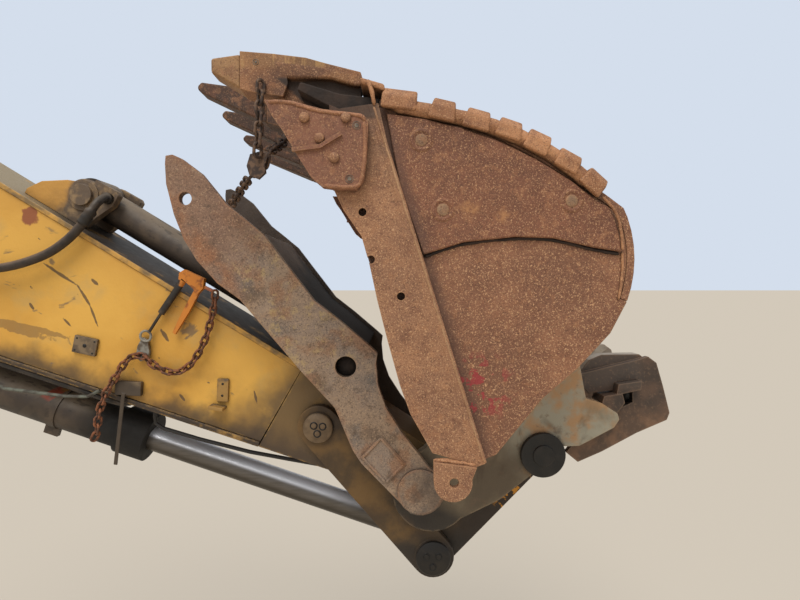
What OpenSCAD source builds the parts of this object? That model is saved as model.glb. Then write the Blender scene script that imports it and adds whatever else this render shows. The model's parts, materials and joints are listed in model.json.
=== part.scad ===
// Excavator stick with its bucket, coupler, linkage, cylinders and thumb.
// Millimetres. The origin is the middle of the boom-pin bore, +X runs towards the
// bucket, +Z is up and +Y is across the stick, away from the side that is seen.
// Side outlines are drawn as [x, z] and given their thickness across Y.

/* [Stick] */
// Distance from the boom pin to the nose pin
stick_len = 3100; // [2900:10:3300]
// Slope of the stick below the horizontal, as it is parked
stick_tilt = 29.5; // [25:0.5:34]
// Width over the stick's side plates
stick_w = 330; // [310:2:334]
// Thickness of the stick's side plates
side_t = 12; // [8:1:20]
// Thickness of the stick's top and bottom plates
flange_t = 22; // [16:1:30]
// How far the top and bottom plates stand past the side plates
flange_lip = 8; // [4:1:10]
// Height of the top plate above the boom pin
top_rise = 244; // [225:1:260]
// Height of the top plate at the nose casting
nose_top = 160; // [150:1:170]
// Depth of the bottom plate at the nose casting
nose_bottom = 232; // [220:1:245]
// Depth of the bottom plate at the heel under the boom pin
heel_drop = 640; // [600:5:680]
// Distance of the heel from the boom pin along the stick
heel_x = 360; // [300:5:420]
// Length of the nose casting back from the nose pin
nose_len = 640; // [600:5:680]
// Distance of the tail pin behind the boom pin
tail_back = 780; // [700:5:860]
// Drop of the tail pin below the line of the pins
tail_drop = 190; // [150:5:230]

/* [Pins] */
// Diameter of the nose pin
nose_pin_d = 110; // [90:1:120]
// Diameter of the linkage pins
link_pin_d = 90; // [80:1:100]
// Diameter of the boom-pin bore
boom_bore_d = 130; // [110:1:140]
// Diameter of the tail bore for the stick cylinder's pin
tail_bore_d = 110; // [90:1:120]
// Diameter of both pins of the bucket cylinder's and thumb cylinder's eyes
eye_pin_d = 80; // [60:1:90]
// Radial clearance of a pin in its bore
pin_gap = 0.4; // [0.2:0.1:0.6]

/* [Linkage] */
// Distance of the idler pin back from the nose pin, along the stick
idler_back = 461; // [445:1:475]
// Drop of the idler pin below the line of the pins
idler_drop = 21; // [10:1:30]
// Length of the idler links between their pins
idler_len = 718; // [700:1:735]
// Half width of the space between the idler links
idler_in = 171; // [170:1:173]
// Thickness of an idler link
idler_t = 38; // [30:1:40]
// Radius of the idler link at its upper and lower pin
idler_boss_r = 88; // [80:1:95]
// Half width of the power link
power_half = 160; // [150:1:164]
// Radius of the pin caps' flange
cap_r = 62; // [58:1:68]

/* [Coupler] */
// Half width of the space between the coupler plates
coupler_in = 228; // [226:1:232]
// Thickness of a coupler plate
coupler_t = 50; // [40:1:54]
// Radius of the coupler's round end at the nose pin
coupler_disc_r = 155; // [150:1:160]
// Thickness of a latch plate
latch_t = 26; // [20:1:27]

/* [Cylinders] */
// Outside diameter of the bucket cylinder's barrel
bucket_barrel_d = 180; // [170:1:186]
// Diameter of the bucket cylinder's rod
bucket_rod_d = 108; // [95:1:115]
// Length of the bucket cylinder's barrel from its base pin
bucket_barrel_len = 1423; // [1400:1:1440]
// Outside diameter of the thumb cylinder's barrel
thumb_barrel_d = 135; // [126:1:138]
// Diameter of the thumb cylinder's rod
thumb_rod_d = 70; // [60:1:80]

/* [Thumb] */
// Angle of the thumb above the horizontal ahead, as it is parked
thumb_angle = 127; // [126:0.5:129]
// Width over the thumb's two side plates
thumb_w = 700; // [690:1:720]
// Thickness of a thumb side plate
thumb_t = 35; // [30:1:40]
// Thickness of the plate between the side plates
spine_t = 25; // [20:1:32]

/* [Bucket] */
// Width of the bucket over its side plates
bucket_w = 1450; // [1400:5:1480]
// Thickness of the bucket's side plates
cheek_t = 25; // [20:1:32]
// Thickness of the wrapper that makes the bucket's floor and back
wrapper_t = 25; // [20:1:30]
// Thickness of the side bars along the bucket's mouth
side_bar_t = 30; // [25:1:32]
// Thickness of the wear plates
wear_t = 16; // [12:1:22]
// Thickness of the lip
lip_t = 55; // [50:1:60]
// Number of teeth
teeth = 5; // [5:1:5]
// Width of a tooth adapter
adapter_w = 96; // [85:1:110]
// Number of heel shrouds on each side
shrouds = 7; // [5:1:7]
// Thickness of the side cutters
cutter_t = 34; // [28:1:40]

/* [Chain] */
// Diameter of the chain's wire
chain_d = 10; // [8:0.5:12]
// Inside length of a chain link
chain_pitch = 32; // [30:0.5:34]
// Inside width of a chain link
chain_inner = 14; // [13:0.5:15]

/* [Hidden] */
$fn = 64;

// Colours
yellow = "#c8912f";
dark_steel = "#3a3532";
rust = "#8a5a3c";
brown = "#6b5a4c";
grey = "#8d897e";
chrome = "#a8a9ab";
orange = "#d9822b";

// Places, in the frame of the whole part
nose_at = [stick_len * cos(stick_tilt), -stick_len * sin(stick_tilt)];
idler_top = [stick_len - idler_back, -idler_drop];
// Pins of the linkage, from the nose pin
top_pin = [-(idler_back * cos(stick_tilt) + idler_drop * sin(stick_tilt)),
    idler_back * sin(stick_tilt) - idler_drop * cos(stick_tilt)];
idler_lean = 49;
low_pin = top_pin + idler_len * [cos(idler_lean), -sin(idler_lean)];
link_pin = [488, 120];
// Base pins of the cylinders, along and above the stick
bucket_base = [610, -757];
thumb_base = [1286, 321];
// The rod pin of the thumb cylinder, on the thumb
thumb_rod_pin = [554, -61];
wrapper_half = bucket_w / 2;
cheek_in = wrapper_half - cheek_t;

// An arc of points about c, of radius r, from angle a0 to a1 in n steps
function arc(c, r, a0, a1, n = 6) = [for (i = [0:n]) c + r * [cos(a0 + (a1 - a0) * i / n),
    sin(a0 + (a1 - a0) * i / n)]];
function unit(v) = v / norm(v);
function left(v) = [-v[1], v[0]];
// The path moved t to its left, with mitred corners
function beside(path, t) = let (n = len(path)) [for (i = [0:n - 1]) let (
    a = unit(path[min(i + 1, n - 1)] - path[min(i, n - 2)]),
    b = unit(path[max(i, 1)] - path[max(i - 1, 0)]),
    m = unit(left(a) + left(b))) path[i] + m * t / (m * left(a))];
function backwards(path) = [for (i = [len(path) - 1:-1:0]) path[i]];
// A band of thickness t along the left of a path
function band(path, t) = concat(path, backwards(beside(path, t)));
// Outline of a link between two pins, round at both ends
function strap(a, ra, b, rb) = let (
    d = atan2(b[1] - a[1], b[0] - a[0]), s = asin((ra - rb) / norm(b - a)))
    concat(arc(a, ra, d + 90 - s, d + 270 + s, 14), arc(b, rb, d - 90 + s, d + 90 - s, 14));
function turned(v, a) = [v[0] * cos(a) - v[1] * sin(a), v[0] * sin(a) + v[1] * cos(a)];
// A point given along and above the stick, seen from the nose pin
function from_nose(p) = turned(p - [stick_len, 0], -stick_tilt);

// A side outline given thickness from y0 to y1
module slab(y0, y1) translate([0, y1, 0]) rotate([90, 0, 0]) linear_extrude(y1 - y0) children();
module both() {
    children();
    mirror([0, 1, 0]) children();
}
module rod(p, r, y0, y1) slab(y0, y1) translate(p) circle(r);
module in_stick() rotate([0, stick_tilt, 0]) children();
module in_nose() translate([nose_at[0], 0, nose_at[1]]) children();
module in_thumb() in_nose() rotate([0, -thumb_angle, 0]) children();
// Along the line from p to q, with x along it
module along(p, q) translate([p[0], 0, p[1]]) rotate([0, -atan2(q[1] - p[1], q[0] - p[0]), 0]) children();
module bar_along(x0, x1, r) translate([x0, 0, 0]) rotate([0, 90, 0]) cylinder(h = x1 - x0, r = r);

// Outline of the stick, from the nose casting's top round the tail to its bottom
nose_x = stick_len - nose_len;
tail_pin = [-tail_back, -tail_drop];
tail_r = 150;
shoulder_r = 200;
stick_outline = concat([[nose_x, nose_top], [0, top_rise]], arc(tail_pin, tail_r, 100, 240, 10),
    [[heel_x, -heel_drop], [nose_x, -nose_bottom]]);
stick_inside = beside(stick_outline, flange_t);
// The plate between two of the outline's points
function piece_of(outline, inside, from, to) = concat([for (i = [from:to]) outline[i]],
    [for (i = [to:-1:from]) inside[i]]);

module stick_side_plates() color(yellow) in_stick() both()
    slab(stick_w / 2 - side_t, stick_w / 2) difference() {
        polygon(stick_inside);
        circle(d = boom_bore_d + 2 * boss_wall);
        translate(tail_pin) circle(d = tail_bore_d + 2 * boss_wall);
    }
boss_wall = 45;

module stick_top_plate() color(yellow) in_stick()
    slab(-stick_w / 2 - flange_lip, stick_w / 2 + flange_lip)
        polygon(piece_of(stick_outline, stick_inside, 0, 7));
module stick_bottom_plate() color(yellow) in_stick()
    slab(-stick_w / 2 - flange_lip, stick_w / 2 + flange_lip)
        polygon(piece_of(stick_outline, stick_inside, 13, 14));
module stick_tail_plate() color(yellow) in_stick()
    slab(-stick_w / 2 - flange_lip, stick_w / 2 + flange_lip)
        polygon(piece_of(stick_outline, stick_inside, 7, 13));

// The nose casting, with the bores of the nose pin and the idler pin
nose_r = 118;
module stick_nose() color(yellow) in_stick() difference() {
    slab(-stick_w / 2, stick_w / 2) polygon(concat([[nose_x, nose_top], [nose_x, -nose_bottom]],
        arc([stick_len, 0], nose_r, -105, 80, 16)));
    rod([stick_len, 0], nose_pin_d / 2 + pin_gap, -stick_w, stick_w);
    rod(idler_top, link_pin_d / 2 + pin_gap, -stick_w, stick_w);
}

// The boss for the boom pin, a tube right across the stick
boss_out = 12;
module boom_pin_boss() color(yellow) in_stick() slab(-stick_w / 2 - boss_out, stick_w / 2 + boss_out)
    difference() {
        circle(d = boom_bore_d + 2 * boss_wall);
        circle(d = boom_bore_d);
    }
module tail_boss() color(yellow) in_stick() slab(-stick_w / 2 - boss_out, stick_w / 2 + boss_out)
    translate(tail_pin) difference() {
        circle(d = tail_bore_d + 2 * boss_wall);
        circle(d = tail_bore_d);
    }

// Two ears under the stick and the pin that the bucket cylinder turns on
lug_gap = 6;
lug_in = bucket_barrel_d / 2 + lug_gap;
lug_t = 36;
lug_r = 85;
function bottom_at(x) = -heel_drop - 0.02 + (x - heel_x) * (heel_drop - nose_bottom) / (nose_x - heel_x);
module bucket_cylinder_lugs() color(yellow) in_stick() {
    both() slab(lug_in, lug_in + lug_t) polygon(concat([[heel_x + 20, bottom_at(heel_x + 20)]],
        arc(bucket_base, lug_r, 215, 325, 10), [[heel_x + 520, bottom_at(heel_x + 520)]]));
    color(dark_steel) rod(bucket_base, eye_pin_d / 2, -lug_in, lug_in);
}

// The bracket on the stick's top that carries the thumb cylinder's base pin
bracket_in = thumb_barrel_d / 2 + lug_gap;
bracket_t = 40;
bracket_back = 226;
bracket_fore = 128;
bracket_rise = 84;
boss_ring_r = 66;
boss_ring_t = 8;
function top_at(x) = top_rise + x * (nose_top - top_rise) / nose_x;
module thumb_cylinder_bracket() color(yellow) in_stick() {
    x0 = thumb_base[0] - bracket_back;
    x1 = thumb_base[0] + 60;
    outside = bracket_in + bracket_t;
    both() slab(bracket_in, outside) polygon(concat([[x0, top_at(x0)], [x1, top_at(x1)],
        thumb_base + [bracket_fore, 20], thumb_base + [bracket_fore, bracket_rise - 12],
        thumb_base + [bracket_fore - 15, bracket_rise], thumb_base + [14, bracket_rise]],
        arc(thumb_base, 72, 80, 150, 6), [thumb_base + [-94, 24], thumb_base + [-186, -34],
        [x0, top_at(x0) + 22]]));
    color(dark_steel) rod(thumb_base, eye_pin_d / 2, -bracket_in, bracket_in);
    color(dark_steel) both() {
        rod(thumb_base, boss_ring_r, outside, outside + boss_ring_t);
        rod(thumb_base, 46, outside + boss_ring_t, outside + boss_ring_t + 18);
    }
}

// Pads and brackets welded on the near side of the stick
pad_t = 14;
clamp_t = flange_lip + pad_t;
strap_t = 5;
module stick_pads() color(yellow) in_stick() {
    // Columns: x, z, length, height, turn, thickness
    for (p = [[1627, -213, 98, 72, 17, pad_t], [2216, -94, 47, 96, 27, pad_t], [2234, -163, 62, 14, 20, 52],
        [1872, -278, 108, 58, 26, clamp_t]])
        slab(-stick_w / 2 - p[5], -stick_w / 2) translate([p[0], p[1]]) rotate(p[4])
            square([p[2], p[3]], center = true);
    // The tail of the clamp's strap hangs down past the cylinder
    slab(-stick_w / 2 - clamp_t - strap_t, -stick_w / 2 - clamp_t)
        polygon(band([[1989, -578], [1874, -300]], 16));
}

// Sweeps a round tube of n sides along points
function ring(p, t, r, n) = let (u = unit(cross(t, [0, 1, 0.001])), v = cross(u, t))
    [for (i = [0:n - 1]) p + r * (u * cos(360 * i / n) + v * sin(360 * i / n))];
module hose(path, r, n = 10) {
    k = len(path);
    rings = [for (i = [0:k - 1]) ring(path[i], unit(path[min(i + 1, k - 1)] - path[max(i - 1, 0)]), r, n)];
    polyhedron(points = [for (g = rings) each g], faces = concat(
        [[for (j = [0:n - 1]) j]], [[for (j = [n - 1:-1:0]) (k - 1) * n + j]],
        [for (i = [0:k - 2], j = [0:n - 1]) [i * n + j, (i + 1) * n + j, (i + 1) * n + (j + 1) % n,
            i * n + (j + 1) % n]]));
}

// Hose to the thumb cylinder's base port, from a bulkhead near the boom pin
thumb_hose_points = [[385, -165.3, -245], [385, -176, -245], [398, -193, -247], [440, -199, -251],
    [620, -207, -262], [800, -217, -240], [950, -222, -200], [1080, -224, -155], [1180, -222, -100],
    [1262, -218, -30], [1334, -212, 60], [1375, -208, 150], [1394, -206, 230], [1398, -202, 290],
    [1396, -190, 330], [1390, -164, 352], [1384, -138, 360], [1384, -114, 360]];
module thumb_hose() color(dark_steel) in_stick() hose(thumb_hose_points, 18);
grease_points = [[490, -165.3, -516], [490, -174, -516], [520, -182, -520], [800, -184, -540],
    [1100, -186, -545], [1424, -186, -530], [1653, -184, -438], [1740, -182, -392], [1772, -180, -345]];
// The lower edge of the nose casting runs straight to its round end
nose_chin = [stick_len, 0] + nose_r * [cos(-105), sin(-105)];
function chin_at(x) = -nose_bottom + (x - nose_x) * (nose_chin[1] + nose_bottom) / (nose_chin[0] - nose_x);
under_points = [[1990, -100, bottom_at(1990) - 2], [1990, -100, -336], [1998, -100, -360],
    [2019, -100, -388], [2060, -100, -391], [2220, -100, -355], [2434, -100, -297], [2600, -100, -240],
    [2700, -100, -205], [2722, -100, -197], [2726, -100, -190], [2726, -100, chin_at(2726) - 2]];
module grease_line() color(grey) in_stick() {
    hose(grease_points, 7, 8);
    hose(under_points, 9, 8);
}

// A chain of links from a to b, in [x, y, z]
module chain_link() {
    w = (chain_inner + chain_d) / 2;
    straight = chain_pitch / 2 + chain_gap + chain_d / 2 - w;
    for (s = [0, 1]) rotate([0, 0, 180 * s]) {
        translate([straight, 0, 0]) rotate([0, 0, -90]) rotate_extrude(angle = 180, $fn = 16)
            translate([w, 0]) circle(d = chain_d, $fn = 16);
        translate([-straight, w, 0]) rotate([0, 90, 0]) cylinder(h = 2 * straight, d = chain_d, $fn = 16);
    }
}
chain_gap = 0.25;
module chain(points) {
    for (i = [0:len(points) - 2]) {
        d = points[i + 1] - points[i];
        translate((points[i] + points[i + 1]) / 2)
            rotate([0, -asin(d[2] / norm(d)), atan2(d[1], d[0])])
            rotate([45 + 90 * (i % 2), 0, 0]) chain_link();
    }
}
// Points a link's pitch apart along a path of [x, y, z]
function spaced(path) = let (n = len(path),
    far = [for (i = 0, d = 0; i < n; d = d + (i + 1 < n ? norm(path[i + 1] - path[i]) : 0), i = i + 1) d])
    [for (d = [0:chain_pitch:far[n - 1]]) [for (k = [0:2])
        lookup(d, [for (i = [0:n - 1]) [far[i], path[i][k]]])]];
// Half the width of a chain whose links lie at 45 degrees
chain_half = (chain_inner + chain_d) / 2 * cos(45) + chain_d / 2;
seat_gap = 0.2;
chain_y = -stick_w / 2 - clamp_t - chain_half - seat_gap;
chain_path = [[1997, 256], [2016, 215], [2033, 165], [2049, 104], [2058, 55], [2061, -9], [2054, -67],
    [2028, -108], [1999, -127], [1943, -136], [1912, -133], [1881, -122], [1853, -125], [1829, -143],
    [1816, -170], [1813, -200], [1810, -266], [1806, -324], [1820, -418], [1854, -493], [1857, -539]];
module stick_chain() color(rust) in_stick() chain(spaced([for (p = chain_path) [p[0], chain_y, p[1]]]));
// The ratchet binder that holds the chain taut: a black tube with a rod, a ring and a flat hook
// below, and the ratchet with its tapered lever and its screw above
hook_y = -stick_w / 2 - clamp_t;
tube_r = 14;
module chain_binder() in_stick() {
    y = -stick_w / 2 - flange_lip - tube_r - seat_gap;
    translate([0, y, 0]) {
        color(dark_steel) along([1856, 228], [1842, 65]) bar_along(0, 164, tube_r);
        color(dark_steel) along([1842, 70], [1836, -30]) bar_along(0, 100, 6);
        color(grey) translate([1832, 0, -50]) rotate([90, 0, 0]) rotate_extrude($fn = 32)
            translate([22, 0]) circle(5, $fn = 16);
        color(orange) slab(-13, 13) polygon([[1831, 249], [1843, 272], [1931, 279], [1947, 242], [1938, 209],
            [1910, 221], [1852, 234], [1846, 214]]);
        color(orange) slab(-8, 8) polygon([[1940, 240], [1917, 225], [1917, 130], [1923, 20], [1937, 18],
            [1942, 130]]);
        color(rust) along([1940, 247], [1981, 250]) bar_along(0, 41, 7);
    }
    color(grey) slab(hook_y, hook_y + 14) polygon([[1822, -62], [1846, -62], [1874, -98], [1884, -126],
        [1864, -152], [1838, -146], [1822, -104]]);
}

// Bucket cylinder, along the line from its base pin to the links' low pin
bucket_axis = [from_nose(bucket_base), low_pin];
module in_bucket_cylinder() in_nose() along(bucket_axis[0], bucket_axis[1]) children();
eye_r = 82;
rod_eye_half = 60;
head_r = 106;
head_len = 130;
band_at = 1000;
band_w = 40;
band_t = 5;
bucket_pins_apart = norm(bucket_axis[1] - bucket_axis[0]);
module bucket_cylinder_barrel() color(dark_steel) in_bucket_cylinder() {
    difference() {
        union() {
            rod([0, 0], eye_r, -bucket_barrel_d / 2, bucket_barrel_d / 2);
            bar_along(0, bucket_barrel_len - head_len, bucket_barrel_d / 2);
            bar_along(bucket_barrel_len - head_len, bucket_barrel_len, head_r);
            bar_along(band_at - band_w / 2, band_at + band_w / 2, bucket_barrel_d / 2 + band_t);
            slab(-40, -18) translate([band_at, -bucket_barrel_d / 2 - 6]) square([64, 46], center = true);
        }
        rod([0, 0], eye_pin_d / 2 + pin_gap, -200, 200);
        bar_along(eye_r + 40, bucket_barrel_len + 1, bucket_rod_d / 2 + pin_gap);
    }
}
module bucket_cylinder_rod() color(chrome) in_bucket_cylinder() {
    difference() {
        union() {
            bar_along(bucket_barrel_len - head_len + 10, bucket_pins_apart, bucket_rod_d / 2);
            rod([bucket_pins_apart, 0], eye_r, -rod_eye_half, rod_eye_half);
        }
        rod([bucket_pins_apart, 0], link_pin_d / 2 + pin_gap, -200, 200);
    }
}

// Thumb cylinder, along the line from its bracket to the pin on the thumb
thumb_axis = [from_nose(thumb_base), turned(thumb_rod_pin, thumb_angle)];
thumb_pins_apart = norm(thumb_axis[1] - thumb_axis[0]);
thumb_eye_half = 48;
thumb_eye_r = 62;
base_eye_r = 84;
thumb_dead = 150;
module in_thumb_cylinder() in_nose() along(thumb_axis[0], thumb_axis[1]) children();
module thumb_cylinder_barrel() color(dark_steel) in_thumb_cylinder() {
    difference() {
        union() {
            rod([0, 0], base_eye_r, -thumb_barrel_d / 2, thumb_barrel_d / 2);
            bar_along(0, thumb_pins_apart - thumb_dead, thumb_barrel_d / 2);
        }
        rod([0, 0], eye_pin_d / 2 + pin_gap, -200, 200);
        bar_along(base_eye_r + 20, thumb_pins_apart, thumb_rod_d / 2 + pin_gap);
    }
}
module thumb_cylinder_rod() color(chrome) in_thumb_cylinder() {
    difference() {
        union() {
            bar_along(base_eye_r + 28, thumb_pins_apart, thumb_rod_d / 2);
            rod([thumb_pins_apart, 0], thumb_eye_r, -thumb_eye_half, thumb_eye_half);
        }
        rod([thumb_pins_apart, 0], eye_pin_d / 2 + pin_gap, -200, 200);
    }
}

// The pin through the nose casting and both idler links, with a cap at each end
cap_t = 14;
module idler_pin() color(dark_steel) in_stick() {
    y1 = idler_in + idler_t + 0.5;
    rod(idler_top, link_pin_d / 2, -y1, y1);
    both() rod(idler_top, cap_r, y1, y1 + cap_t);
}
// Two idler links, with the stub pins that carry the power link
stub_in = 66;
module idler_links() color(brown) in_nose() both() {
    difference() {
        slab(idler_in, idler_in + idler_t) polygon(strap(top_pin, idler_boss_r, low_pin, idler_boss_r));
        rod(top_pin, link_pin_d / 2 + pin_gap, 0, 400);
    }
    rod(low_pin, link_pin_d / 2, stub_in, idler_in);
    color(dark_steel) rod(low_pin, cap_r + 10, idler_in + idler_t, idler_in + idler_t + 10);
}
// The power link, forked round the rod's eye and joined near its upper pin
fork_in = 76;
module power_link() color(brown) in_nose() {
    d = unit(link_pin - low_pin);
    web = [low_pin + d * 330 - left(d) * 60, low_pin + d * 500 - left(d) * 60];
    difference() {
        both() slab(fork_in, power_half) polygon(strap(low_pin, 84, link_pin, 92));
        rod(low_pin, link_pin_d / 2 + pin_gap, -400, 400);
    }
    slab(-fork_in, fork_in) polygon(band(web, 120));
}

// The edge that the hinge plate and the coupler plates share
hinge_edge = [[565, 643], [465, 534], [357, 440], [217, 267], [150, 240]];

// Coupler plates, with the round end at the nose pin and the tongue at the other
washer_r = 88;
washer_t = 21;
tongue_top = [[726, 322], [787, 282]];
coupler_outline = concat(arc([49, -38], coupler_disc_r, 150, 318, 14), [[321, -64]],
    arc(link_pin, washer_r - 6, -112, 22, 6), [[592, 150], [637, 152], [774, 225], [795, 257]],
    backwards(tongue_top), [[661, 342], [641, 447], [600, 690]], hinge_edge, [[110, 235], [20, 140],
    [-60, 80]]);
module coupler_plates() color(grey) in_nose() both() difference() {
    slab(coupler_in, coupler_in + coupler_t) polygon(coupler_outline);
    rod([0, 0], nose_pin_d / 2 + pin_gap, 0, 400);
    rod(link_pin, link_pin_d / 2 + pin_gap, 0, 400);
}
// Tubes that join the coupler plates
module coupler_cross_tubes() color(grey) in_nose() {
    for (p = [[192, 186], [720, 267]]) rod(p, 29, -coupler_in, coupler_in);
}
// The nose pin, with its collars, and the stubs of the upper link pin with their big washers
module coupler_pins() color(dark_steel) in_nose() {
    rod([0, 0], nose_pin_d / 2, -thumb_w / 2 + 5, thumb_w / 2 - 5);
    both() {
        rod(link_pin, link_pin_d / 2, power_half + 6, coupler_in + coupler_t + 1);
        rod(link_pin, washer_r, coupler_in + coupler_t + 1, coupler_in + coupler_t + washer_t);
        rod(link_pin, 42, coupler_in + coupler_t + washer_t, coupler_in + coupler_t + washer_t + 6);
    }
}
// Hooked latch plates on the bucket's back, inside the coupler plates
latch_out = coupler_in;
latch_outline = [[560, 590], [648, 430], [884, 488], [930, 502], [965, 476], [993, 380], [1021, 272],
    [1010, 243], [888, 190], [746, 113], [649, 70], [600, 110], [640, 160], [811, 290], [869, 316],
    [866, 373], [692, 352], [620, 420]];
wedge_outline = [[786, 352], [884, 374], [888, 410], [794, 396]];
// The key in each slot, seated on the tongue
key_seat = beside(tongue_top, 0.3);
key_outline = concat([[735, 350], [808, 360], [818, 322]], backwards(key_seat));
gusset_outline = [[655, 425], [700, 485], [750, 506], [905, 508], [925, 492], [884, 460], [700, 410]];
module latch_plates() color(brown) in_nose() both() difference() {
    union() {
        slab(latch_out - latch_t, latch_out) polygon(latch_outline);
        slab(latch_out - latch_t - 60, latch_out - latch_t + 4) polygon(gusset_outline);
    }
    slab(latch_out - 60, latch_out + 40) polygon(wedge_outline);
}
module latch_wedges() color(brown) in_nose() both() {
    slab(latch_out - 60, latch_out + 40) polygon(wedge_outline);
    slab(latch_out - 60, latch_out + 46) polygon(key_outline);
}

// Bucket: the outside of the wrapper runs along the floor, eases outwards and goes round the back
floor_c = [-267, 157];
floor_r = 1203;
function floor_at(a) = floor_c + (floor_r + 24 * pow(max(62 - a, 0) / 17, 2)) * [cos(a), sin(a)];
wrapper_path = concat([for (a = [84:-3:45]) floor_at(a)], arc([252, 866], 384, 20, -19.2, 6));
shell_path = concat(wrapper_path, hinge_edge, [[37, 278]]);
shell_inside = beside(shell_path, -wrapper_t);
shell_split = len(wrapper_path) - 1;
inside_path = [for (i = [0:shell_split]) shell_inside[i]];
module bucket_wrapper() color(rust) in_nose() slab(-wrapper_half, wrapper_half)
    polygon(piece_of(shell_path, shell_inside, 0, shell_split));
module bucket_hinge_plate() color(rust) in_nose() slab(-cheek_in, cheek_in)
    polygon(piece_of(shell_path, shell_inside, shell_split, len(shell_path) - 1));
hinge_top = wrapper_path[shell_split];
// The lip's corners: its upper side carries on from the wrapper
lip_start = wrapper_path[0];
lip_heel = lip_start + [-120, 14 - lip_t];
lip_outline = [lip_start, lip_start + [-120, 14], lip_start + [-240, 50], lip_start + [-250, 26],
    lip_heel, inside_path[0]];
mouth_top = [-290, lip_heel[1] + 12];
mouth_edge = [[37, 278], [18, 283], [-49, 402], [-80, 488], [-117, 622], [-148, 744], [-171, 850],
    [-195, 935], [-248, 1012], [-290, 1100]];
cheek_outline = concat(inside_path, [hinge_top], hinge_edge, mouth_edge, [mouth_top, lip_heel]);
module bucket_cheeks() color(rust) in_nose() both() slab(cheek_in, wrapper_half) polygon(cheek_outline);
side_bar_outline = concat([[150, 240]], mouth_edge, [mouth_top, lip_heel, inside_path[0], [-88, 1081],
    [-18, 881], [13, 744], [83, 565], [178, 251]]);
module bucket_side_bars() color(rust) in_nose() both()
    slab(wrapper_half, wrapper_half + side_bar_t) difference() {
        polygon(side_bar_outline);
        for (p = [[-192, 1007], [-167, 866], [-77, 756]]) translate(p) circle(r = 12);
    }
wear_outline = concat([[-80, 1081], [-10, 881], [113, 919], [268, 935], [384, 931], [500, 904]],
    arc([252, 866], 338, 4, 28, 4),
    [for (a = [48:5.8:83]) floor_c + (floor_r - 20 - 0.75 * (a - 48)) * [cos(a), sin(a)]]);
module bucket_wear_plates() color(rust) in_nose() both()
    slab(wrapper_half, wrapper_half + wear_t) polygon(wear_outline);
// The lip, a thick plate across the mouth
module bucket_lip() color(rust) in_nose() slab(-wrapper_half, wrapper_half) polygon(lip_outline);

// Where the teeth stand, across the lip
tooth_span = 1280;
function tooth_y(i) = -tooth_span / 2 + i * tooth_span / (teeth - 1);
// What stands on the lip is drawn from the point where the lip meets the wrapper
module at_lip() in_nose() translate([lip_start[0], 0, lip_start[1]]) children();
// Adapter: a body ahead of the lip, a strap over it on a narrow web, and a nose for the tooth
body_x = -434;
adapter_outline = [[-52, 67], [-60, 95], [-165, 121], [-230, 139], [-331, 151], [body_x, 159], [body_x, 43],
    [-389, 31], [-300, 20], [-285, 60], [-291, 103], [-165, 91]];
web_outline = [[-60, -10], [-60, 80], [-165, 104], [-300, 112], [-320, 20], [-330, -2], [-205, -82],
    [-130, -78], [-104, -30]];
nose_outline = [[body_x + 4, 75], [body_x - 60, 105], [body_x - 60, 129], [body_x + 4, 133]];
adapter_nose_w = 50;
web_w = 52;
module tooth_adapters() color(rust) at_lip() for (i = [0:teeth - 1]) translate([0, tooth_y(i), 0]) {
    difference() {
        union() {
            slab(-adapter_w / 2, adapter_w / 2) polygon(adapter_outline);
            slab(-web_w / 2, web_w / 2) polygon(web_outline);
        }
        slab(-adapter_w, adapter_w) translate(-lip_start) polygon(lip_outline);
    }
    slab(-adapter_nose_w / 2, adapter_nose_w / 2) polygon(nose_outline);
}
// Columns: reach past the adapter, the near one worn short, thickness and height of the tip
tooth_table = [[98, 50, 132], [262, 40, 179], [282, 40, 185], [288, 40, 176], [293, 40, 178]];
tooth_gap = 0.3;
module teeth() color(rust) at_lip() for (i = [0:teeth - 1]) translate([0, tooth_y(i), 0]) {
    t = tooth_table[i];
    x0 = body_x - tooth_gap;
    x1 = body_x - t[0];
    h = t[1] / 2;
    difference() {
        intersection() {
            slab(-adapter_w, adapter_w) polygon([[x0, 43], [x1 + 14, t[2] - h], [x1, t[2] - h + 14],
                [x1, t[2] + h - 14], [x1 + 14, t[2] + h], [x0, 159]]);
            linear_extrude(300) polygon([[x0, -adapter_w / 2], [x0, adapter_w / 2],
                [x0 - 60, adapter_w / 2], [x1, adapter_w * 0.36], [x1, -adapter_w * 0.36],
                [x0 - 60, -adapter_w / 2]]);
        }
        slab(-adapter_nose_w / 2 - tooth_gap, adapter_nose_w / 2 + tooth_gap) polygon([[x0 + 1, 74.4],
            [body_x - 60.5, 104.4], [body_x - 60.5, 129.6], [x0 + 1, 133.6]]);
    }
}
cutter_outline = [[-333, -27], [-259, -29], [-164, -54], [-53, -67], [-31, -91], [-35, -171], [-44, -256],
    [-65, -285], [-120, -284], [-165, -278], [-198, -250], [-238, -186], [-282, -113], [-311, -73]];
rib_path = [[-251, -179], [-169, -169], [-106, -131]];
rib_t = 9;
module side_cutters() color(rust) at_lip() both() {
    out = wrapper_half + side_bar_t;
    slab(out, out + cutter_t) polygon(cutter_outline);
    slab(out + cutter_t - 2, out + cutter_t + rib_t) polygon(band(rib_path, 12));
}
// Columns: first angle, last angle, lap over the side plate
shroud_table = [[83.25, 78.6, 37], [75.95, 73.1, 36], [71.65, 67.8, 34], [66.65, 62.9, 26],
    [62.15, 58.1, 16], [57.5, 53.5, 13], [52.9, 48.25, 12]];
shroud_t = 24;
saddle_t = 12;
// A point of the wrapper's outside at an angle, moved outwards
function heel_at(a, out) = floor_at(a) + out * [cos(a), sin(a)];
function heel_run(a0, a1, out, n = 3) = [for (k = [0:n]) heel_at(a0 + (a1 - a0) * k / n, out)];
shroud_seat = 0.6;
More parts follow.
